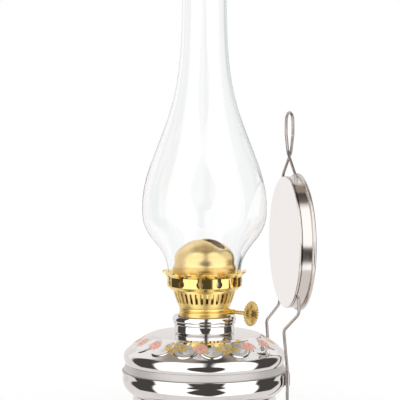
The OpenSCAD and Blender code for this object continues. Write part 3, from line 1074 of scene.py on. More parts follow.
@dataclass
class Font(Assembly):
    """The plated font: foot, bowl, embossed shoulder, collar and the two sockets."""

    belly_r: float = 44.5
    tin_t: float = 0.5
    foot_in: float = 1.2
    waist_in: float = 6.0
    foot_h: float = 14.9
    hem_w: float = 2.6
    hem_r: float = 1.0
    belly_round: float = 9.3
    belly_rise: float = 7.8
    belly_press: float = 0.26
    side_h: float = 3.9
    seam_in: float = 2.0
    spigot_h: float = 3.0
    shoulder_in: float = 0.9
    shoulder_round: float = 3.8
    shoulder_tuck: float = 8.0
    shoulder_slope: float = 33.0
    slope_round: float = 5.0
    ridge_in: float = 16.0
    top_rise: float = 0.6
    petals: int = 16
    petal_angle: float = 18.0
    petal_h: float = 0.4
    petal_end: float = 0.93
    petal_fill: float = 0.96
    petal_taper: float = 0.04
    petal_start: float = 2.0
    petal_edge: float = 0.9
    bead_in: float = 1.1
    bead_w: float = 0.75
    bead_share: float = 0.45
    bore_r: float = 12.0
    collar_h: float = 9.1
    lip_w: float = 5.2
    bulge_w: float = 4.3
    seat_drop: float = 0.8
    touch: float = 0.05
    segments: int = 256

    def __post_init__(self) -> None:
        """Works out the points and levels that the pieces share."""
        slope = math.radians(self.shoulder_slope)
        self.belly_z = self.foot_h + self.belly_round
        self.seam_z = self.belly_z + self.belly_rise
        edge_r = self.belly_r - self.shoulder_in - self.shoulder_round
        self.edge = (edge_r, self.seam_z + self.shoulder_tuck / 2)
        self.slope_r = edge_r + self.shoulder_round * math.sin(slope)
        slope_z = self.edge[1] + self.shoulder_round * math.cos(slope)
        ridge_r = self.belly_r - self.ridge_in
        self.ridge = (ridge_r, slope_z + (self.slope_r - ridge_r) * math.tan(slope))
        self.top_z = self.ridge[1] + self.top_rise
        self.seat_z = self.top_z + self.collar_h - self.seat_drop

    def foot_path(self) -> list[Point]:
        """Draws the spun foot.

        Returns:
            Its outer side, from under the bowl to the hem.
        """
        belly = self.belly_r - self.belly_round
        waist_a = math.degrees(math.acos((self.belly_round - self.waist_in) / self.belly_round))
        waist_r = self.belly_r - self.waist_in
        waist_z = self.belly_z - self.belly_round * math.sin(math.radians(waist_a))
        foot_r = self.belly_r - self.foot_in
        end_r, end_z = foot_r - 0.4, 1.4
        skirt = [
            (waist_r + (end_r - waist_r) * s * s, waist_z * (1 - s) + end_z * s)
            for s in (i / 24 for i in range(1, 25))
        ]
        roll = self.hem_r
        return [
            (belly - 2, self.foot_h - self.touch),
            *arc(belly, self.belly_z, self.belly_round + self.touch, -90, -waist_a, 20),
            *skirt,
            *arc(foot_r - roll, roll, roll, 20, -90, 10),
            (foot_r - roll - self.hem_w, 0.0),
        ]

    def bowl_path(self) -> list[Point]:
        """Draws the bowl.

        Returns:
            Its outer side, from the middle of its bottom to the seam.
        """
        seam_r = self.belly_r - self.seam_in
        low_r, low_z = self.belly_r - self.belly_press, self.belly_z
        high_z = low_z + self.side_h
        belly = arc(low_r - self.belly_round, low_z, self.belly_round, -90, -4, 40)
        groove = bezier(belly[-1], (low_r, low_z - 0.2), (low_r - 0.08, low_z + 0.7), 12)
        hollow, lip = (low_r - 0.17, low_z + 1.3), (low_r - 0.02, low_z + 2.1)
        groove += bezier(groove[-1], hollow, lip, 12)[1:]
        side = bezier(groove[-1], (low_r + 0.1, low_z + 2.7), (self.belly_r, high_z), 10)
        corner = arc(low_r, high_z, self.belly_press, 0, 70, 8)
        hem = bezier(corner[-1], (seam_r + 0.9, high_z + 0.8), (seam_r, self.seam_z), 10)
        return [
            (0.0, self.foot_h),
            *straight((0.0, self.foot_h), belly[0], 8),
            *belly,
            *groove[1:],
            *side[1:],
            *corner[1:],
            *hem[1:],
        ]

    def shoulder_path(self) -> list[Point]:
        """Draws the shoulder.

        Returns:
            Its outer side, from the collar's hole to its edge.
        """
        ridge_r, ridge_z = self.ridge
        edge_r, edge_z = self.edge
        shoulder_r = self.belly_r - self.shoulder_in
        top = (self.bore_r + 1, self.top_z)
        start = (ridge_r + 0.5, ridge_z - 0.25)
        turn = bezier((ridge_r - 1.6, ridge_z), (ridge_r, ridge_z), start, 10)
        radius = self.shoulder_round
        low = math.radians(self.shoulder_slope + self.slope_round)
        end = (edge_r + radius * math.sin(low), edge_z + radius * math.cos(low))
        drop = math.tan(math.radians(self.shoulder_slope - self.slope_round))
        fall = math.tan(low)
        meet = (start[1] - end[1] + drop * start[0] - fall * end[0]) / (drop - fall)
        slope = bezier(start, (meet, start[1] - drop * (meet - start[0])), end, 44)[1:-1]
        depth = self.shoulder_tuck
        tuck_a = math.degrees(math.asin((edge_z - self.seam_z - self.touch) / depth))
        tuck = [
            (shoulder_r - depth * (1 - math.cos(a)), edge_z - depth * math.sin(a))
            for a in (math.radians(tuck_a * i / 12) for i in range(1, 13))
        ]
        edge = arc(edge_r, edge_z, radius, 90 - self.shoulder_slope - self.slope_round, 0, 18)
        return [top, *straight(top, turn[0], 8), *turn, *slope, *edge, *tuck]

    def petal_height(self, r: float, turn: float) -> float:
        """Height of the embossed petals.

        Args:
            r: Distance from the axis, in millimetres.
            turn: Angle from the middle of a petal, in radians.

        Returns:
            Height over the plain slope, in millimetres.
        """
        ridge_r = self.ridge[0]
        outer = ridge_r + (self.slope_r - ridge_r) * self.petal_end
        lobe = outer * math.sin(math.pi / self.petals) * self.petal_fill
        u, v = r * math.cos(turn) - (outer - lobe), abs(r * math.sin(turn))
        inside = lobe - math.hypot(u, v) if u > 0 else lobe * (1 + self.petal_taper * u) - v
        if inside <= 0:
            return 0.0
        start = clamp((r - ridge_r) / self.petal_start)
        rise = min(inside / self.petal_edge, 1.0)
        rise = rise * rise * (3 - 2 * rise)
        bead = math.exp(-(((inside - self.bead_in) / self.bead_w) ** 2))
        share = self.bead_share
        return self.petal_h * start * ((1 - share) * rise + share * bead)

    def shoulder_shape(self) -> Shape:
        """Presses one sector of the shoulder.

        Returns:
            Both sides of the sheet, with the petal.
        """
        path = self.shoulder_path()
        spigot_r = self.belly_r - self.seam_in - self.tin_t - self.touch
        full = [*path, (spigot_r, path[-1][1]), (spigot_r, self.seam_z - self.spigot_h)]
        under = beside(full, self.tin_t)
        above = beside(path, -1.0)
        columns = 36
        half = math.pi / self.petals
        turns = [-half + 2 * half * k / columns for k in range(columns + 1)]
        first = math.radians(self.petal_angle)
        rows = []
        for i, (r, z) in enumerate(full):
            row = []
            for t in turns:
                h = self.petal_height(r, t) if i < len(path) else 0.0
                way = (above[i][0] - r, above[i][1] - z) if h else (0.0, 0.0)
                row.append(polar(r + way[0] * h, first + t, z + way[1] * h))
            rows.append(row)
        coarse = turns[:: columns // 4]
        back = [[polar(r, first + t, z) for t in coarse] for r, z in under]
        shape = Shape()
        shape.grid(rows)
        shape.grid(back)
        for end in (0, -1):
            shape.grid([rows[end][:: columns // 4], back[end]])
        return shape

    def collar_outline(self) -> list[Point]:
        """Draws the collar with its band, its ring and its flared lip.

        Returns:
            Its closed outline.
        """
        bulge_r, lip_r = self.bore_r + self.bulge_w, self.bore_r + self.lip_w
        z, lip_z = self.top_z, self.top_z + self.collar_h
        rings = (
            (-0.35, 4.2),
            (-0.3, 4.35),
            (0.3, 4.9),
            (0.45, 5.0),
            (0.43, 5.8),
            (0.2, 5.9),
            (0.75, 6.7),
        )
        low = ((-0.5, 0.3), (0.0, 0.5), (0.04, 0.9))
        band = ((0.05, 1.0), (-0.1, 2.4), (-0.13, 4.1))
        low, band, rings = ([(bulge_r + r, z + h) for r, h in row] for row in (low, band, rings))
        lip = ((lip_r, z + 7.5), (lip_r - 0.05, z + 8.2), (lip_r - 0.6, lip_z - 0.2))
        return [
            (self.bore_r, z),
            (bulge_r - 0.6, z),
            *bezier(*low, 6),
            *bezier(*band, 8),
            *rings,
            (lip_r, z + 6.8),
            *bezier(*lip, 8),
            *arc(lip_r - 0.9, lip_z - 0.35, 0.35, 40, 170, 8),
            (lip_r - 2.6, self.seat_z),
            (self.bore_r, self.seat_z),
        ]

    def build(self) -> None:
        """Makes and dresses the font's pieces."""
        spun = (
            ("foot", self.foot_path(), self.tin_t, NICKEL),
            ("bowl", self.bowl_path(), -self.tin_t, HEMMED),
        )
        for name, path, t, finish in spun:
            mesh = turned(name, sheet_outline(path, t), self.segments)
            self.piece(f"{name}_spun", mesh, finish, "font", name)
        mesh = self.sector(self.shoulder_shape(), "shoulder_pressed", self.petals, PRINTED)
        self.piece("shoulder_pressed", mesh, PRINTED, "font", "shoulder")
        mesh = turned("collar", self.collar_outline(), self.segments)
        self.piece("collar_turned", mesh, NICKEL, "font", "font_collar")
        self.dress(SOCKET, "socket_left", "socket_right")


@dataclass
class Bracket(Assembly):
    """The bent wire with its hanging loop, and the round reflector that it carries."""

    font: Font
    face_r: float = 35.7
    rim_depth: float = 7.6
    rim_flare: float = 0.1
    bead_d: float = 2.0
    dish: float = 1.6
    border: float = 3.0
    reflector_rise: float = 48.0
    reflector_in: float = 0.6
    wire_d: float = 1.6
    leg_x: float = 21.0
    leg_z: float = 6.0
    crank_drop: float = 5.4
    wire_back: float = 3.0
    loop_w: float = 12.0
    loop_rise: float = 34.5
    loop_h: float = 11.5
    cross_rise: float = 13.0
    neck_share: float = 0.415
    crank_half: float = 4.4
    crank_in: float = 1.8
    leg_lean: float = 1.0
    socket_sink: float = 2.4
    socket_bite: float = 0.4
    socket_d: float = 2.6
    socket_l: float = 6.7
    segments: int = 192

    @property
    def centre(self) -> Point:
        """Distance behind the axis and height of the reflector's middle."""
        return self.font.belly_r - self.reflector_in, self.font.top_z + self.reflector_rise

    def leg_points(self, side: int) -> list[Place]:
        """Corners of one half of the wire.

        Args:
            side: Side of its socket, -1 or 1.

        Returns:
            The corners from the leg's lower end to the top of the loop.
        """
        font = self.font
        y, z = self.centre
        top, crank = z + self.face_r, z - self.face_r - self.crank_drop
        wire_y, loop_z = y + self.wire_back, top + self.loop_rise
        reach = font.belly_r + font.touch + font.tin_t + self.socket_d / 2 - self.socket_bite
        leg_y = math.sqrt(reach**2 - self.leg_x**2)
        cross = self.wire_d / 2 + font.touch
        low = font.belly_z - self.socket_sink + self.socket_l + 1
        loop_x = -side * self.loop_w / 2
        return [
            (side * self.leg_x, leg_y, self.leg_z),
            (side * self.leg_x, leg_y, low),
            (side * (self.leg_x - self.leg_lean), leg_y - self.crank_in, crank - self.crank_half),
            (side * (self.leg_x + self.leg_lean), wire_y, crank + self.crank_half),
            (side * self.face_r * self.neck_share, wire_y - side * cross * 0.2, top + 0.5),
            (0.0, wire_y - side * cross, top + self.cross_rise),
            (loop_x, wire_y - side * cross * 0.5, loop_z - self.loop_h),
            (loop_x, wire_y - side * cross * 0.4, loop_z),
        ]

    def wire_mesh(self) -> Mesh:
        """Bends the bracket's wire.

        Returns:
            The whole wire.
        """
        points = self.leg_points(1) + self.leg_points(-1)[::-1]
        bends = [0.0, 12.0, 3.5, 4.5, 6.0, 10.0, 8.0, self.loop_w / 2 - 0.6]
        line = bpy.data.curves.new("bracket_line", "CURVE")
        line.dimensions = "3D"
        spline = line.splines.new("POLY")
        spline.points.add(len(points) - 1)
        for knot, place, bend in zip(spline.points, points, bends + bends[::-1]):
            knot.co = (*(c * MM for c in place), 1.0)
            knot.radius = bend * MM
        source = add_object("bracket_line", line)
        values = {"Thickness": self.wire_d * MM, "Steps": 10, "Material": WIRE.material()}
        return WireRecipe().run(source, "bracket_wire", **values)

    def pan_path(self) -> list[Point]:
        """Draws the reflector.

        Returns:
            Its front, from its middle to the back of its rim.
        """
        dish_r = self.face_r - self.border
        ball = (dish_r**2 + self.dish**2) / (2 * self.dish)
        half = math.degrees(math.asin(dish_r / ball))
        dish = arc(0.0, ball - self.dish, ball, -90, -90 + half, 32)
        dish[0] = (0.0, -self.dish)
        rim_r = self.face_r + self.rim_flare
        edge = arc(self.face_r - 0.8, -0.8, 0.8, 90, 0, 10)
        border = [(dish_r + 0.15, 0.02), (dish_r + 0.5, 0.0)]
        end = (rim_r, -self.rim_depth)
        return [*dish, *border, *edge, *straight(edge[-1], end, 8), end]

    def build(self) -> None:
        """Makes and dresses the wire and the reflector."""
        self.piece("bracket_wire_bent", self.wire_mesh(), WIRE, "font", "bracket_wire")
        pan = Shape()
        pan.lathe(sheet_outline(self.pan_path(), self.font.tin_t), self.segments)
        bead_r = self.face_r + self.rim_flare + self.bead_d / 2 - self.font.tin_t * 0.6
        bead = arc(bead_r, -self.rim_depth, self.bead_d / 2, 0, 360, 20)[:-1]
        pan.lathe(bead, self.segments)
        y, z = self.centre
        place = Matrix.Translation((0, y, z)) @ Matrix.Rotation(math.pi / 2, 4, "X")
        mesh = close_mesh(pan.mesh("reflector_pan", place))
        self.piece("reflector_pan_pressed", mesh, MIRROR, "font", "reflector_pan")


@dataclass
class Burner(Assembly):
    """The brass burner: base, air basket, gallery with its prongs, dome, winder and wick."""

    font: Font
    brass_t: float = 0.45
    washer_t: float = 0.8
    flange_t: float = 1.0
    neck_out: float = 1.1
    neck_h: float = 3.4
    basket_out: float = 3.75
    basket_h: float = 9.9
    slot_rise: float = 2.9
    slots: int = 34
    slot_w: float = 1.4
    slot_drop: float = 1.2
    basket_lap: float = 0.2
    basket_power: float = 0.8
    rim_h: float = 2.6
    glass_t: float = 1.6
    dome_room: float = 0.85
    fit_gap: float = 0.3
    bevel_w: float = 1.85
    prong_h: float = 5.3
    flare: float = 2.8
    prongs: int = 12
    relief_d: float = 3.7
    slit_w: float = 2.3
    dome_out: float = 0.1
    dome_h: float = 26.6
    band_h: float = 11.4
    dome_taper: float = 0.8
    crown_r: float = 21.5
    crown_round: float = 8.0
    flame_l: float = 25.6
    flame_w: float = 6.6
    winder_angle: float = 42.0
    feed_r: float = 2.8
    wick_w: float = 18.0
    wick_t: float = 2.5
    wick_l: float = 68.0
    wick_out: float = 1.0
    tube_gap: float = 6.0
    thumb_out: float = 14.2
    thumb_r: float = 6.7
    thumb_t: float = 1.1
    scallops: int = 24
    hub_r: float = 2.0
    notch_d: float = 0.8
    ray_h: float = 0.55
    edge_drop: float = 0.25
    rib_w: float = 1.0
    rib_h: float = 0.05
    pick_h: float = 0.03
    cut_round: float = 0.25
    seat_in: float = 0.35

    def __post_init__(self) -> None:
        """Works out the radii and levels that the pieces share."""
        self.neck_r = self.font.bore_r + self.neck_out
        self.basket_r = self.neck_r + self.basket_out
        self.dome_r = self.basket_r + self.dome_out
        self.rim_seat_r = self.dome_r - self.brass_t - self.seat_in
        self.fit_r = self.dome_r + self.dome_room + self.glass_t
        self.gallery_r = self.fit_r + self.fit_gap + self.brass_t
        self.bevel_r = self.gallery_r - self.bevel_w
        self.flange_z = self.font.seat_z + self.washer_t
        self.neck_z = self.flange_z + self.flange_t
        self.basket_z = self.neck_z + self.neck_h
        self.step_z = self.basket_z + self.basket_h
        self.gallery_z = self.step_z + self.brass_t
        self.prong_z = self.step_z + self.font.touch + self.bevel_w
        self.dome_top = self.gallery_z + self.dome_h
        self.band_z = self.gallery_z + self.band_h
        self.turn = Matrix.Rotation(math.radians(self.winder_angle), 4, "Z")

    def basket_path(self) -> tuple[list[Point], list[float]]:
        """Draws the air basket.

        Returns:
            Its outer side, and half the width of a slot at each point.
        """
        neck, foot, start = self.neck_r, self.neck_z, self.basket_z
        low, high = start + self.slot_rise, self.step_z - self.slot_drop
        path = [
            (neck + 0.5, foot),
            *arc(neck - 0.2, foot + 0.7, 0.75, -25, 75, 10),
            *arc(neck - 0.6, foot + 1.75, 0.45, -50, 50, 6),
            *arc(neck - 0.3, start - 0.75, 0.75, -75, 45, 10),
        ]
        radius = self.slot_w / 2
        ends = [low + radius * (1 - math.cos(math.pi / 2 * i / 5)) for i in range(6)]
        levels = ends + [low + radius + (high - low - 2 * radius) * i / 8 for i in range(1, 8)]
        levels += [high - (z - low) for z in reversed(ends)]
        levels = [start + self.slot_rise * i / 8 for i in range(8)] + levels + [self.step_z - 0.35]
        gaps = [0.0] * len(path)
        rise = self.basket_h - 0.4
        for z in levels:
            share = min((z - start) / rise, 1.0)
            swell = (self.basket_out - self.basket_lap) * share**self.basket_power
            path.append((neck + self.basket_lap + swell, z))
            away = max(low + radius - z, z - (high - radius), 0.0)
            inside = low + 1e-6 < z < high - 1e-6
            gaps.append(math.sqrt(max(radius**2 - away**2, 0.0)) if inside else 0.0)
        seat, top = self.rim_seat_r, self.step_z
        path += [(self.basket_r, top), (seat, top), (seat, top + self.rim_h)]
        return path, gaps + [0.0] * 3

    def gallery_path(self) -> tuple[list[Point], list[float]]:
        """Draws the gallery.

        Returns:
            Its outer side, and half the gap between its prongs at each point.
        """
        base, touch = self.step_z + self.font.touch, self.font.touch
        bevel, wall, foot = self.bevel_r, self.gallery_r, self.prong_z
        path = [
            (self.rim_seat_r + touch, base),
            *bezier((bevel - 0.3, base), (bevel, base), (bevel + 0.2, base + 0.2), 4),
            *straight((bevel, base), (wall, foot), 3),
            *bezier((wall - 0.45, foot - 0.45), (wall - 0.02, foot - 0.1), (wall, foot + 0.25), 8),
        ]
        gaps = [0.0] * len(path)
        radius, slit = self.relief_d / 2, self.slit_w / 2
        meet = math.degrees(math.asin(slit / radius))
        middle = foot + 0.3 + radius
        for a in (math.radians(-90 + (180 - meet) * i / 14) for i in range(15)):
            path.append((wall, middle + radius * math.sin(a)))
            gaps.append(radius * math.cos(a))
        top = foot + self.prong_h
        bend, tip = (wall + self.flare * 0.25, top + 0.5), (wall + self.flare, top + 2.2)
        path += bezier((wall, top - 0.2), bend, tip, 10)
        corner = [slit + 1.3 * max(0.0, i / 10 - 0.55) ** 2 * 4 for i in range(11)]
        return path, gaps + corner

    def dome_path(self) -> list[Point]:
        """Draws the dome.

        Returns:
            Its outer side, from its middle to its lower edge.
        """
        side_r = self.dome_r - self.dome_taper
        corner_r = side_r - self.crown_round
        crown_z = self.dome_top - self.crown_r
        corner_z = crown_z + math.sqrt((self.crown_r - self.crown_round) ** 2 - corner_r**2)
        corner_a = math.degrees(math.atan2(corner_z - crown_z, corner_r))
        crown = arc(0.0, crown_z, self.crown_r, 90, corner_a, 24)
        crown[0] = (0.0, self.dome_top)
        corner = arc(corner_r, corner_z, self.crown_round, corner_a, 0, 16)[1:]
        high, low = (side_r, self.band_z + 2.4), (self.dome_r, self.band_z - 0.5)
        middle = (side_r + self.dome_taper / 2, self.band_z + 0.9)
        end = (self.dome_r, self.gallery_z + 2 * self.font.touch)
        turn = bezier(high, (side_r, self.band_z + 1.4), middle, 6)
        turn += bezier(middle, (self.dome_r, self.band_z + 0.4), low, 6)[1:]
        return [*crown, *corner, *straight(corner[-1], high, 4), *turn, *straight(low, end, 6), end]

    def slot_reach(self, turn: float) -> float:
        """Distance from the axis to the edge of the flame slot.

        Args:
            turn: Direction from the slot's length, in radians.

        Returns:
            The distance, in millimetres.
        """
        half, end = self.flame_w / 2, (self.flame_l - self.flame_w) / 2
        c, s = abs(math.cos(turn)), abs(math.sin(turn))
        if s > 1e-9 and half / s * c <= end:
            return half / s
        return end * c + math.sqrt(half**2 - (end * s) ** 2)

    def dome_shape(self) -> Shape:
        """Presses the dome with its flame slot.

        Returns:
            Both sides of the sheet.
        """
        outer = self.dome_path()
        segments, rings = 240, 60
        walls = []
        for path in (outer, beside(outer, self.brass_t)):
            lengths = [0.0]
            for p, q in zip(path, path[1:]):
                lengths.append(lengths[-1] + math.dist(p, q))
            turns = (math.tau * k / segments for k in range(segments))
            columns = [self._dome_column(path, lengths, turn, rings) for turn in turns]
            walls.append([[column[j] for column in columns] for j in range(rings + 1)])
        shape = Shape()
        shape.sheet(*walls, closed_columns=True)
        return shape

    def _dome_column(
        self, path: list[Point], lengths: list[float], turn: float, rings: int
    ) -> list[Place]:
        """Points down the dome in one direction.

        Args:
            path: The dome's side in that wall.
            lengths: Length along the path at each of its points.
            turn: Direction, in radians.
            rings: Number of steps.

        Returns:
            The points from the slot's edge to the dome's lower edge.
        """
        reach = self.slot_reach(turn)
        i = next(i for i in range(1, len(path)) if path[i][0] >= reach)
        share = (reach - path[i - 1][0]) / (path[i][0] - path[i - 1][0])
        start = lengths[i - 1] + share * (lengths[i] - lengths[i - 1])
        points = []
        for j in range(rings + 1):
            at = start + (lengths[-1] - start) * j / rings
            i = next((i for i in range(1, len(path)) if lengths[i] >= at - 1e-9), len(path) - 1)
            t = clamp((at - lengths[i - 1]) / (lengths[i] - lengths[i - 1]))
            r, z = (p + t * (q - p) for p, q in zip(path[i - 1], path[i]))
            points.append(polar(r, turn, z))
        return points

    def thumb_place(self) -> Matrix:
        """Finds where the thumbwheel goes.

        Returns:
            Its place, with its own axis along the winder shaft.
        """
        deck_z = self.flange_z - 0.9
        y = self.wick_t / 2 + 0.2 + self.feed_r
        z = deck_z + self.brass_t + 0.2 + self.feed_r
        move = Matrix.Translation((self.neck_r + self.thumb_out, y, z))
        return self.turn @ move @ Matrix.Rotation(math.pi / 2, 4, "Y")

    def thumb_sector(self) -> Shape:
        """Presses one scallop of the thumbwheel.

        Returns:
            The scallop with its share of the rays.
        """
        half, columns = math.pi / self.scallops, 10
        turns = [-half + 2 * half * k / columns for k in range(columns + 1)]
        hub, levels = self.hub_r, 18
        front, back = [], []
        for share in (j / levels for j in range(levels + 1)):
            fall = self.edge_drop * max(0.0, (share - 0.88) / 0.12) ** 2
            rows = ([], [])
            for t in turns:
                ray = math.cos(t / half * math.pi) * 0.5 + 0.5
                notch = 0.5 - 0.5 * math.cos(t / half * math.pi)
                edge = self.thumb_r - self.notch_d * notch
                r = hub + (edge - hub) * share
                band = clamp((r - hub - 0.2) / 0.5) * clamp((edge - r - 0.5) / 0.5)
                lift = self.ray_h * band * (ray - 0.7) - fall
                rows[0].append(polar(r, t, self.thumb_t + lift))
                rows[1].append(polar(r, t, -lift))
            front.append(rows[0])
            back.append(rows[1])
        shape = Shape()
        shape.sheet(front, back)
        return shape

    def thumbwheel_mesh(self) -> Mesh:
        """Makes the thumbwheel with its hub.

        Returns:
            Its mesh, in place.
        """
        mesh = self.sector(self.thumb_sector(), "thumbwheel_rim", self.scallops, WORN_BRASS)
        hub = [
            (1.03, -1.2),
            (2.0, -1.2),
            (2.1, 0.0),
            (2.1, self.thumb_t),
            *arc(1.6, self.thumb_t + 0.05, 0.4, 10, 90, 6),
            (1.03, self.thumb_t + 0.4),
        ]
        joined = bmesh.new()
        joined.from_mesh(mesh)
        joined.from_mesh(turned("thumbwheel_hub", hub, 48))
        joined.to_mesh(mesh)
        joined.free()
        move = self.thumb_place()
        move.translation *= MM
        mesh.transform(move)
        return smooth(mesh)

    def wick_shape(self) -> Shape:
        """Weaves the wick.

        Returns:
            The tape, slightly ribbed, with a soft cut edge at the top.
        """
        top = self.dome_top - self.tube_gap + self.wick_out
        rows = []
        levels, steps = 120, 96
        for j in range(levels + 1):
            z = top - self.wick_l + self.wick_l * j / levels
            soft = 1 - self.cut_round * max(0.0, (j - levels + 3) / 3) ** 2
            pick = self.pick_h * math.cos(math.pi * j)
            row = []
            for t in (math.tau * k / steps for k in range(steps)):
                c, s = math.cos(t), math.sin(t)
                x = math.copysign(abs(c) ** 0.35, c) * self.wick_w / 2
                rib = self.rib_h * math.cos(math.tau * x / self.rib_w) + pick
                y = math.copysign(abs(s) ** 0.6, s) * (self.wick_t / 2 - 0.08 + rib) * soft
                row.append((x, y, z))
            rows.append(row)
        shape = Shape()
        shape.grid(rows, closed_columns=True)
        for row in (rows[0], rows[-1]):
            middle = [(x, 0.0, z) for x, _, z in row]
            shape.grid([row, middle], closed_columns=True)
        return shape

    def build(self) -> None:
        """Makes and dresses the burner's pieces."""
        path, gaps = self.basket_path()
        cell = pierced_sector(path, -self.brass_t, math.pi / self.slots, gaps, 5)
        mesh = self.sector(cell, "air_basket_pierced", self.slots, SOFT_BRASS)
        mesh.transform(self.turn @ Matrix.Rotation(math.pi / self.slots, 4, "Z"))
        self.piece("air_basket_pierced", mesh, SOFT_BRASS, "burner", "air_basket")
        path, gaps = self.gallery_path()
        cell = pierced_sector(path, -self.brass_t, math.pi / self.prongs, gaps, 14)
        mesh = self.sector(cell, "gallery_pronged", self.prongs, BRASS)
        mesh.transform(self.turn)
        self.piece("gallery_pronged", mesh, BRASS, "burner", "gallery")
        mesh = close_mesh(self.dome_shape().mesh("dome", self.turn))
        self.piece("dome_pressed", mesh, SATIN_BRASS, "dome", "burner_dome")
        mesh = self.thumbwheel_mesh()
        self.piece("thumbwheel_scalloped", mesh, WORN_BRASS, "winder", "thumbwheel")
        mesh = close_mesh(self.wick_shape().mesh("wick", self.turn))
        self.piece("wick_tape", mesh, COTTON, "wick", "wick")
        self.dress(SOFT_BRASS, "burner_base")
        self.dress(BRASS, "burner_deck", "wick_tube", "vent_tube", "winder_sleeve")
        self.dress(BRASS_ROD, "winder_shaft", "feed_wheel_inner", "feed_wheel_outer")
        self.dress(FIBRE, "burner_washer")


@dataclass
class Chimney(Assembly):
    """The blown glass chimney that stands in the gallery."""

    burner: Burner
    bulb_r: float = 33.5
    tube_r: float = 11.9
    height: float = 201.5
    bulb_z: float = 42.9
    bulb_low: float = 21.9
    bulb_high: float = 47.0
    low_power: float = 3.1
    segments: int = 256
    lift_gap: float = 0.2

    @property
    def foot_z(self) -> float:
        """Finds where the chimney stands.

        Returns:
            Height at which the glass rests on the gallery's slope.
        """
        b = self.burner
        end = b.glass_t / 2
        slope = b.step_z + b.font.touch + b.brass_t * math.sqrt(2)
        return slope + b.fit_r - end - b.bevel_r + end * (math.sqrt(2) - 1) + self.lift_gap

    def radius(self, z: float) -> float:
        """Outer radius of the glass.

        Args:
            z: Height over the chimney's foot, in millimetres.

        Returns:
            The radius, in millimetres.
        """
        if z < self.bulb_z:
            end_r, away = self.burner.fit_r, ((self.bulb_z - z) / self.bulb_low) ** self.low_power
        else:
            end_r, away = self.tube_r, ((z - self.bulb_z) / self.bulb_high) ** 2
        return end_r + (self.bulb_r - end_r) * math.exp(-away)

    def build(self) -> None:
        """Makes and dresses the glass."""
        end, steps = self.burner.glass_t / 2, 150
        levels = [end + (self.height - 2 * end) * (i / steps) ** 1.2 for i in range(steps + 1)]
        outer = [(self.radius(z), self.foot_z + z) for z in levels]
        inner = beside(outer, -2 * end)[::-1]
        top = arc(outer[-1][0] - end, outer[-1][1], end, 0, 180, 10)[1:-1]
        low = arc(outer[0][0] - end, outer[0][1], end, 180, 360, 10)[1:-1]
        mesh = turned("chimney", [*outer, *top, *inner, *low], self.segments)
        self.piece("chimney_blown", mesh, GLASS, "chimney", "glass_chimney")


# The studio


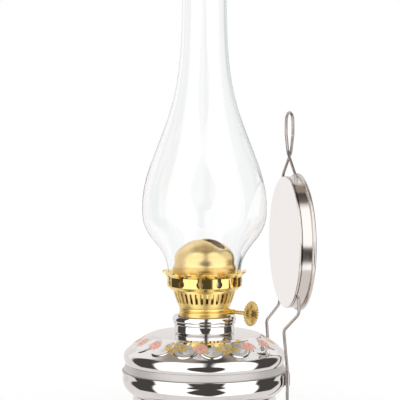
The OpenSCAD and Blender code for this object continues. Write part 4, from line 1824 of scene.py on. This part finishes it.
@dataclass
class Studio:
    """Camera, white surroundings with two tall soft lights, and a pale floor.

    Directions are in degrees.  Turn goes round the lamp from the camera to the right of the
    picture, rise goes up from level, and over goes up from the camera and across the top.  A
    span says where something fades in: first none of it, then all of it.
    """

    bracket_turn: float = 10.7
    aim_left: float = 0.0024
    aim_z: float = 0.1198
    distance: float = 0.806
    tilt: float = 3.24
    lens: float = 135.0
    sensor: float = 36.0
    near: float = 0.01
    floor_r: float = 3.0
    floor_white: float = 0.97
    floor_light: float = 1.05
    floor_glow: float = 0.55
    white: float = 1.5
    wall: Colour = (1.02, 1.01, 1.0)
    ceiling: Colour = (0.37, 0.32, 0.26)
    dark: Colour = (0.075, 0.068, 0.064)
    veil: Colour = (0.78, 0.76, 0.78)
    ground: Colour = (0.88, 0.84, 0.83)
    teal: Colour = (0.22, 0.37, 0.39)
    mist: Colour = (0.70, 0.74, 0.76)
    # The dark gap between the two lights, and its swelling under the camera
    gap_turn: float = 5.5
    gap_half: float = 6.0
    gap_fade: float = 5.0
    gap_top_half: float = 10.5
    gap_top: Span = (72.0, 80.0)
    gap_over: tuple[Span, Span] = ((-110.0, -90.0), (104.0, 99.0))
    gap_low: Span = (-48.0, -41.0)
    swell_rise: float = -17.0
    swell_reach: float = 24.0
    swell_half: float = 20.0
    swell_turn: float = 3.5
    swell_fade: float = 3.0
    # The lights, the dark flanks beside them, and the ground under both
    lights_turn: float = 2.0
    box_turn: Span = (80.0, 76.0)
    box_top: Span = (74.0, 60.0)
    flank_turn: tuple[Span, Span] = ((75.0, 81.0), (132.0, 120.0))
    flank_low: Span = (-1.0, 4.0)
    flank_top: Span = (62.0, 42.0)
    ceiling_rise: Span = (46.0, 62.0)
    ground_rise: Span = (1.0, -2.0)
    ground_lines: tuple[Span, Span] = ((0.18, 48.0), (1.2, 162.0))
    veil_turn: Span = (-20.0, 20.0)
    # What the edge of the glass shows
    edge_turn: tuple[Span, Span] = ((60.0, 80.0), (179.5, 176.0))
    edge_top: Span = (80.0, 60.0)
    edge_mist: Span = (5.0, -2.0)
    edge_walls: int = 3

    @property
    def toward(self) -> Vector:
        """Level direction from the lamp to the camera."""
        a = math.radians(self.bracket_turn)
        return Vector((math.cos(a), -math.sin(a), 0.0))

    @property
    def right(self) -> Vector:
        """Direction to the right of the picture."""
        a = math.radians(self.bracket_turn)
        return Vector((math.sin(a), math.cos(a), 0.0))

    def camera(self) -> None:
        """Sets up the camera at the photograph's viewpoint."""
        data = bpy.data.cameras.new("camera")
        data.lens = self.lens
        data.sensor_width = self.sensor
        data.clip_start = self.near
        camera = add_object("camera", data)
        aim = self.right * -self.aim_left + Vector((0, 0, self.aim_z))
        tilt = math.radians(self.tilt)
        back = self.toward * math.cos(tilt) + Vector((0, 0, math.sin(tilt)))
        camera.location = aim + back * self.distance
        camera.rotation_euler = (aim - camera.location).to_track_quat("-Z", "Y").to_euler()
        bpy.context.scene.camera = camera

    def _gap(self, side: Signal, ahead: Signal, up: Signal) -> Signal:
        """The dark gap between the two lights.

        Args:
            side: Share of the direction to the right of the picture.
            ahead: Share of the direction towards the camera.
            up: Share of the direction upwards.

        Returns:
            Cover of the gap.
        """
        over, rise = up.angle(ahead) * DEGREES, up.asin() * DEGREES
        swell = (rise - self.swell_rise) / self.swell_reach
        swell = (1 - swell * swell).larger(0.0)
        room = self.gap_half + swell * self.swell_half
        room = room.larger(over.step(*self.gap_top) * self.gap_top_half)
        aside = abs(side.asin() * DEGREES - self.gap_turn + swell * self.swell_turn)
        gap = ((room - aside) / (self.gap_fade - swell * self.swell_fade)).step(-1.0, 1.0)
        return gap * over.between(*self.gap_over) * rise.step(*self.gap_low)

    def _room(self, turn: Signal, rise: Signal, through: Signal) -> NodeSocket:
        """The room as metal and glass mirror it, but for the gap between the lights.

        Args:
            turn: Direction round the lamp.
            rise: Direction up from level.
            through: Whether the ray has come through glass.

        Returns:
            The room's colour.
        """
        mix = turn.shader.mix
        around = abs(turn - self.lights_turn)
        lines = [around * slope - drop for slope, drop in self.ground_lines]
        lift = rise - reduce(Signal.larger, lines)
        flank = around.between(*self.flank_turn) * lift.step(*self.flank_low)
        flank = flank * rise.step(*self.flank_top)
        box = around.step(*self.box_turn) * rise.step(*self.box_top)
        room = mix(rise.step(*self.ceiling_rise), self.wall, self.ceiling)
        room = mix(box, room, (self.white,) * 3)
        room = mix(lift.step(*self.ground_rise), room, self.ground)
        veil = mix(turn.step(*self.veil_turn), self.veil, self.teal)
        return mix(flank, room, mix(through, self.dark, veil))

    def _view(self, turn: Signal, rise: Signal, walls: Signal) -> NodeSocket:
        """What is seen straight through the glass: white, with a tinted edge.

        Args:
            turn: Direction round the lamp.
            rise: Direction up from level.
            walls: Number of glass surfaces that the ray has passed.

        Returns:
            The view's colour.
        """
        mix = turn.shader.mix
        beyond = turn.between(*self.edge_turn) * rise.step(*self.edge_top)
        edge = beyond * (self.edge_walls - walls).larger(0.0).smaller(1.0)
        return mix(edge, WHITE, mix(rise.step(*self.edge_mist), self.mist, self.teal))

    def surroundings(self) -> None:
        """Lights the scene: even white, with a dark gap and flanks for metal and glass."""
        world = bpy.data.worlds.new("studio")
        world.use_nodes = True
        bpy.context.scene.world = world
        shader = Shader(world.node_tree)
        way = shader.add("ShaderNodeTexCoord").outputs["Generated"]
        axes = (self.right, self.toward, Vector((0, 0, 1)))
        side, ahead, up = (shader.dot(way, axis) for axis in axes)
        turn, rise = side.angle(ahead) * DEGREES, up.asin() * DEGREES
        names = ("Is Transmission Ray", "Glossy Depth", "Transmission Depth")
        through, bounces, walls = shader.light_path(*names)
        room = self._room(turn, rise, through)
        room = shader.mix(self._gap(side, ahead, up), room, self.dark)
        passed = (self.edge_walls + 1 - walls).larger(bounces - 1)
        one_wall = through * passed.larger(0.0).smaller(1.0)
        colour = shader.mix(through, WHITE, self._view(turn, rise, walls))
        colour = shader.mix(bounces.smaller(1.0) * (1 - one_wall), colour, room)
        light = shader.add("ShaderNodeBackground", {"Color": colour, "Strength": 1.0})
        shader.add("ShaderNodeOutputWorld", {"Surface": light.outputs[0]})

    def floor(self) -> None:
        """Lays a pale floor that takes the lamp's shadow."""
        mesh = bpy.data.meshes.new("floor")
        reach = self.floor_r
        square = [(-reach, -reach, 0), (reach, -reach, 0), (reach, reach, 0), (-reach, reach, 0)]
        mesh.from_pydata(square, [], [(0, 1, 2, 3)])
        material = bpy.data.materials.new("pale_floor")
        material.use_nodes = True
        shader = Shader(material.node_tree)

        def blend(share: Signal, a: Node, b: Node) -> Node:
            """Mixes two shaders by the second one's share."""
            sockets = {0: share, 1: a.outputs[0], 2: b.outputs[0]}
            return shader.add("ShaderNodeMixShader", sockets)

        pale = (self.floor_white,) * 3
        matte = shader.add("ShaderNodeBsdfDiffuse", {"Color": (*pale, 1.0)})
        light = {"Color": (*WHITE, 1.0), "Strength": self.floor_light}
        glow = shader.add("ShaderNodeEmission", light)
        clear = shader.add("ShaderNodeBsdfTransparent")
        names = ("Is Camera Ray", "Is Transmission Ray", "Is Glossy Ray")
        camera, through, glossy = shader.light_path(*names)
        seen = blend(camera.larger(through) * self.floor_glow, matte, glow)
        both = blend(glossy, seen, clear)
        shader.add("ShaderNodeOutputMaterial", {"Surface": both.outputs[0]})
        mesh.materials.append(material)
        floor = add_object("floor", mesh)
        floor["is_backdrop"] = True

    def build(self) -> None:
        """Sets up the whole studio."""
        bpy.context.scene.view_settings.view_transform = "Standard"
        self.camera()
        self.surroundings()
        self.floor()


def corners(box: Sequence[Sequence[float]]) -> list[list[float]]:
    """A box as plain lists of numbers."""
    return [[float(c) for c in corner] for corner in box]


def main() -> None:
    """Builds the lamp and its studio."""
    logging.basicConfig(level=logging.INFO, format="%(name)s: %(message)s")
    cad_box = corners(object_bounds())
    Studio().build()
    font = Font()
    burner = Burner(font)
    for part in (font, Bracket(font), burner, Chimney(burner)):
        part.build()
    {"cad": cad_box, "visual": corners(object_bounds())}


if __name__ == "__main__":
    main()
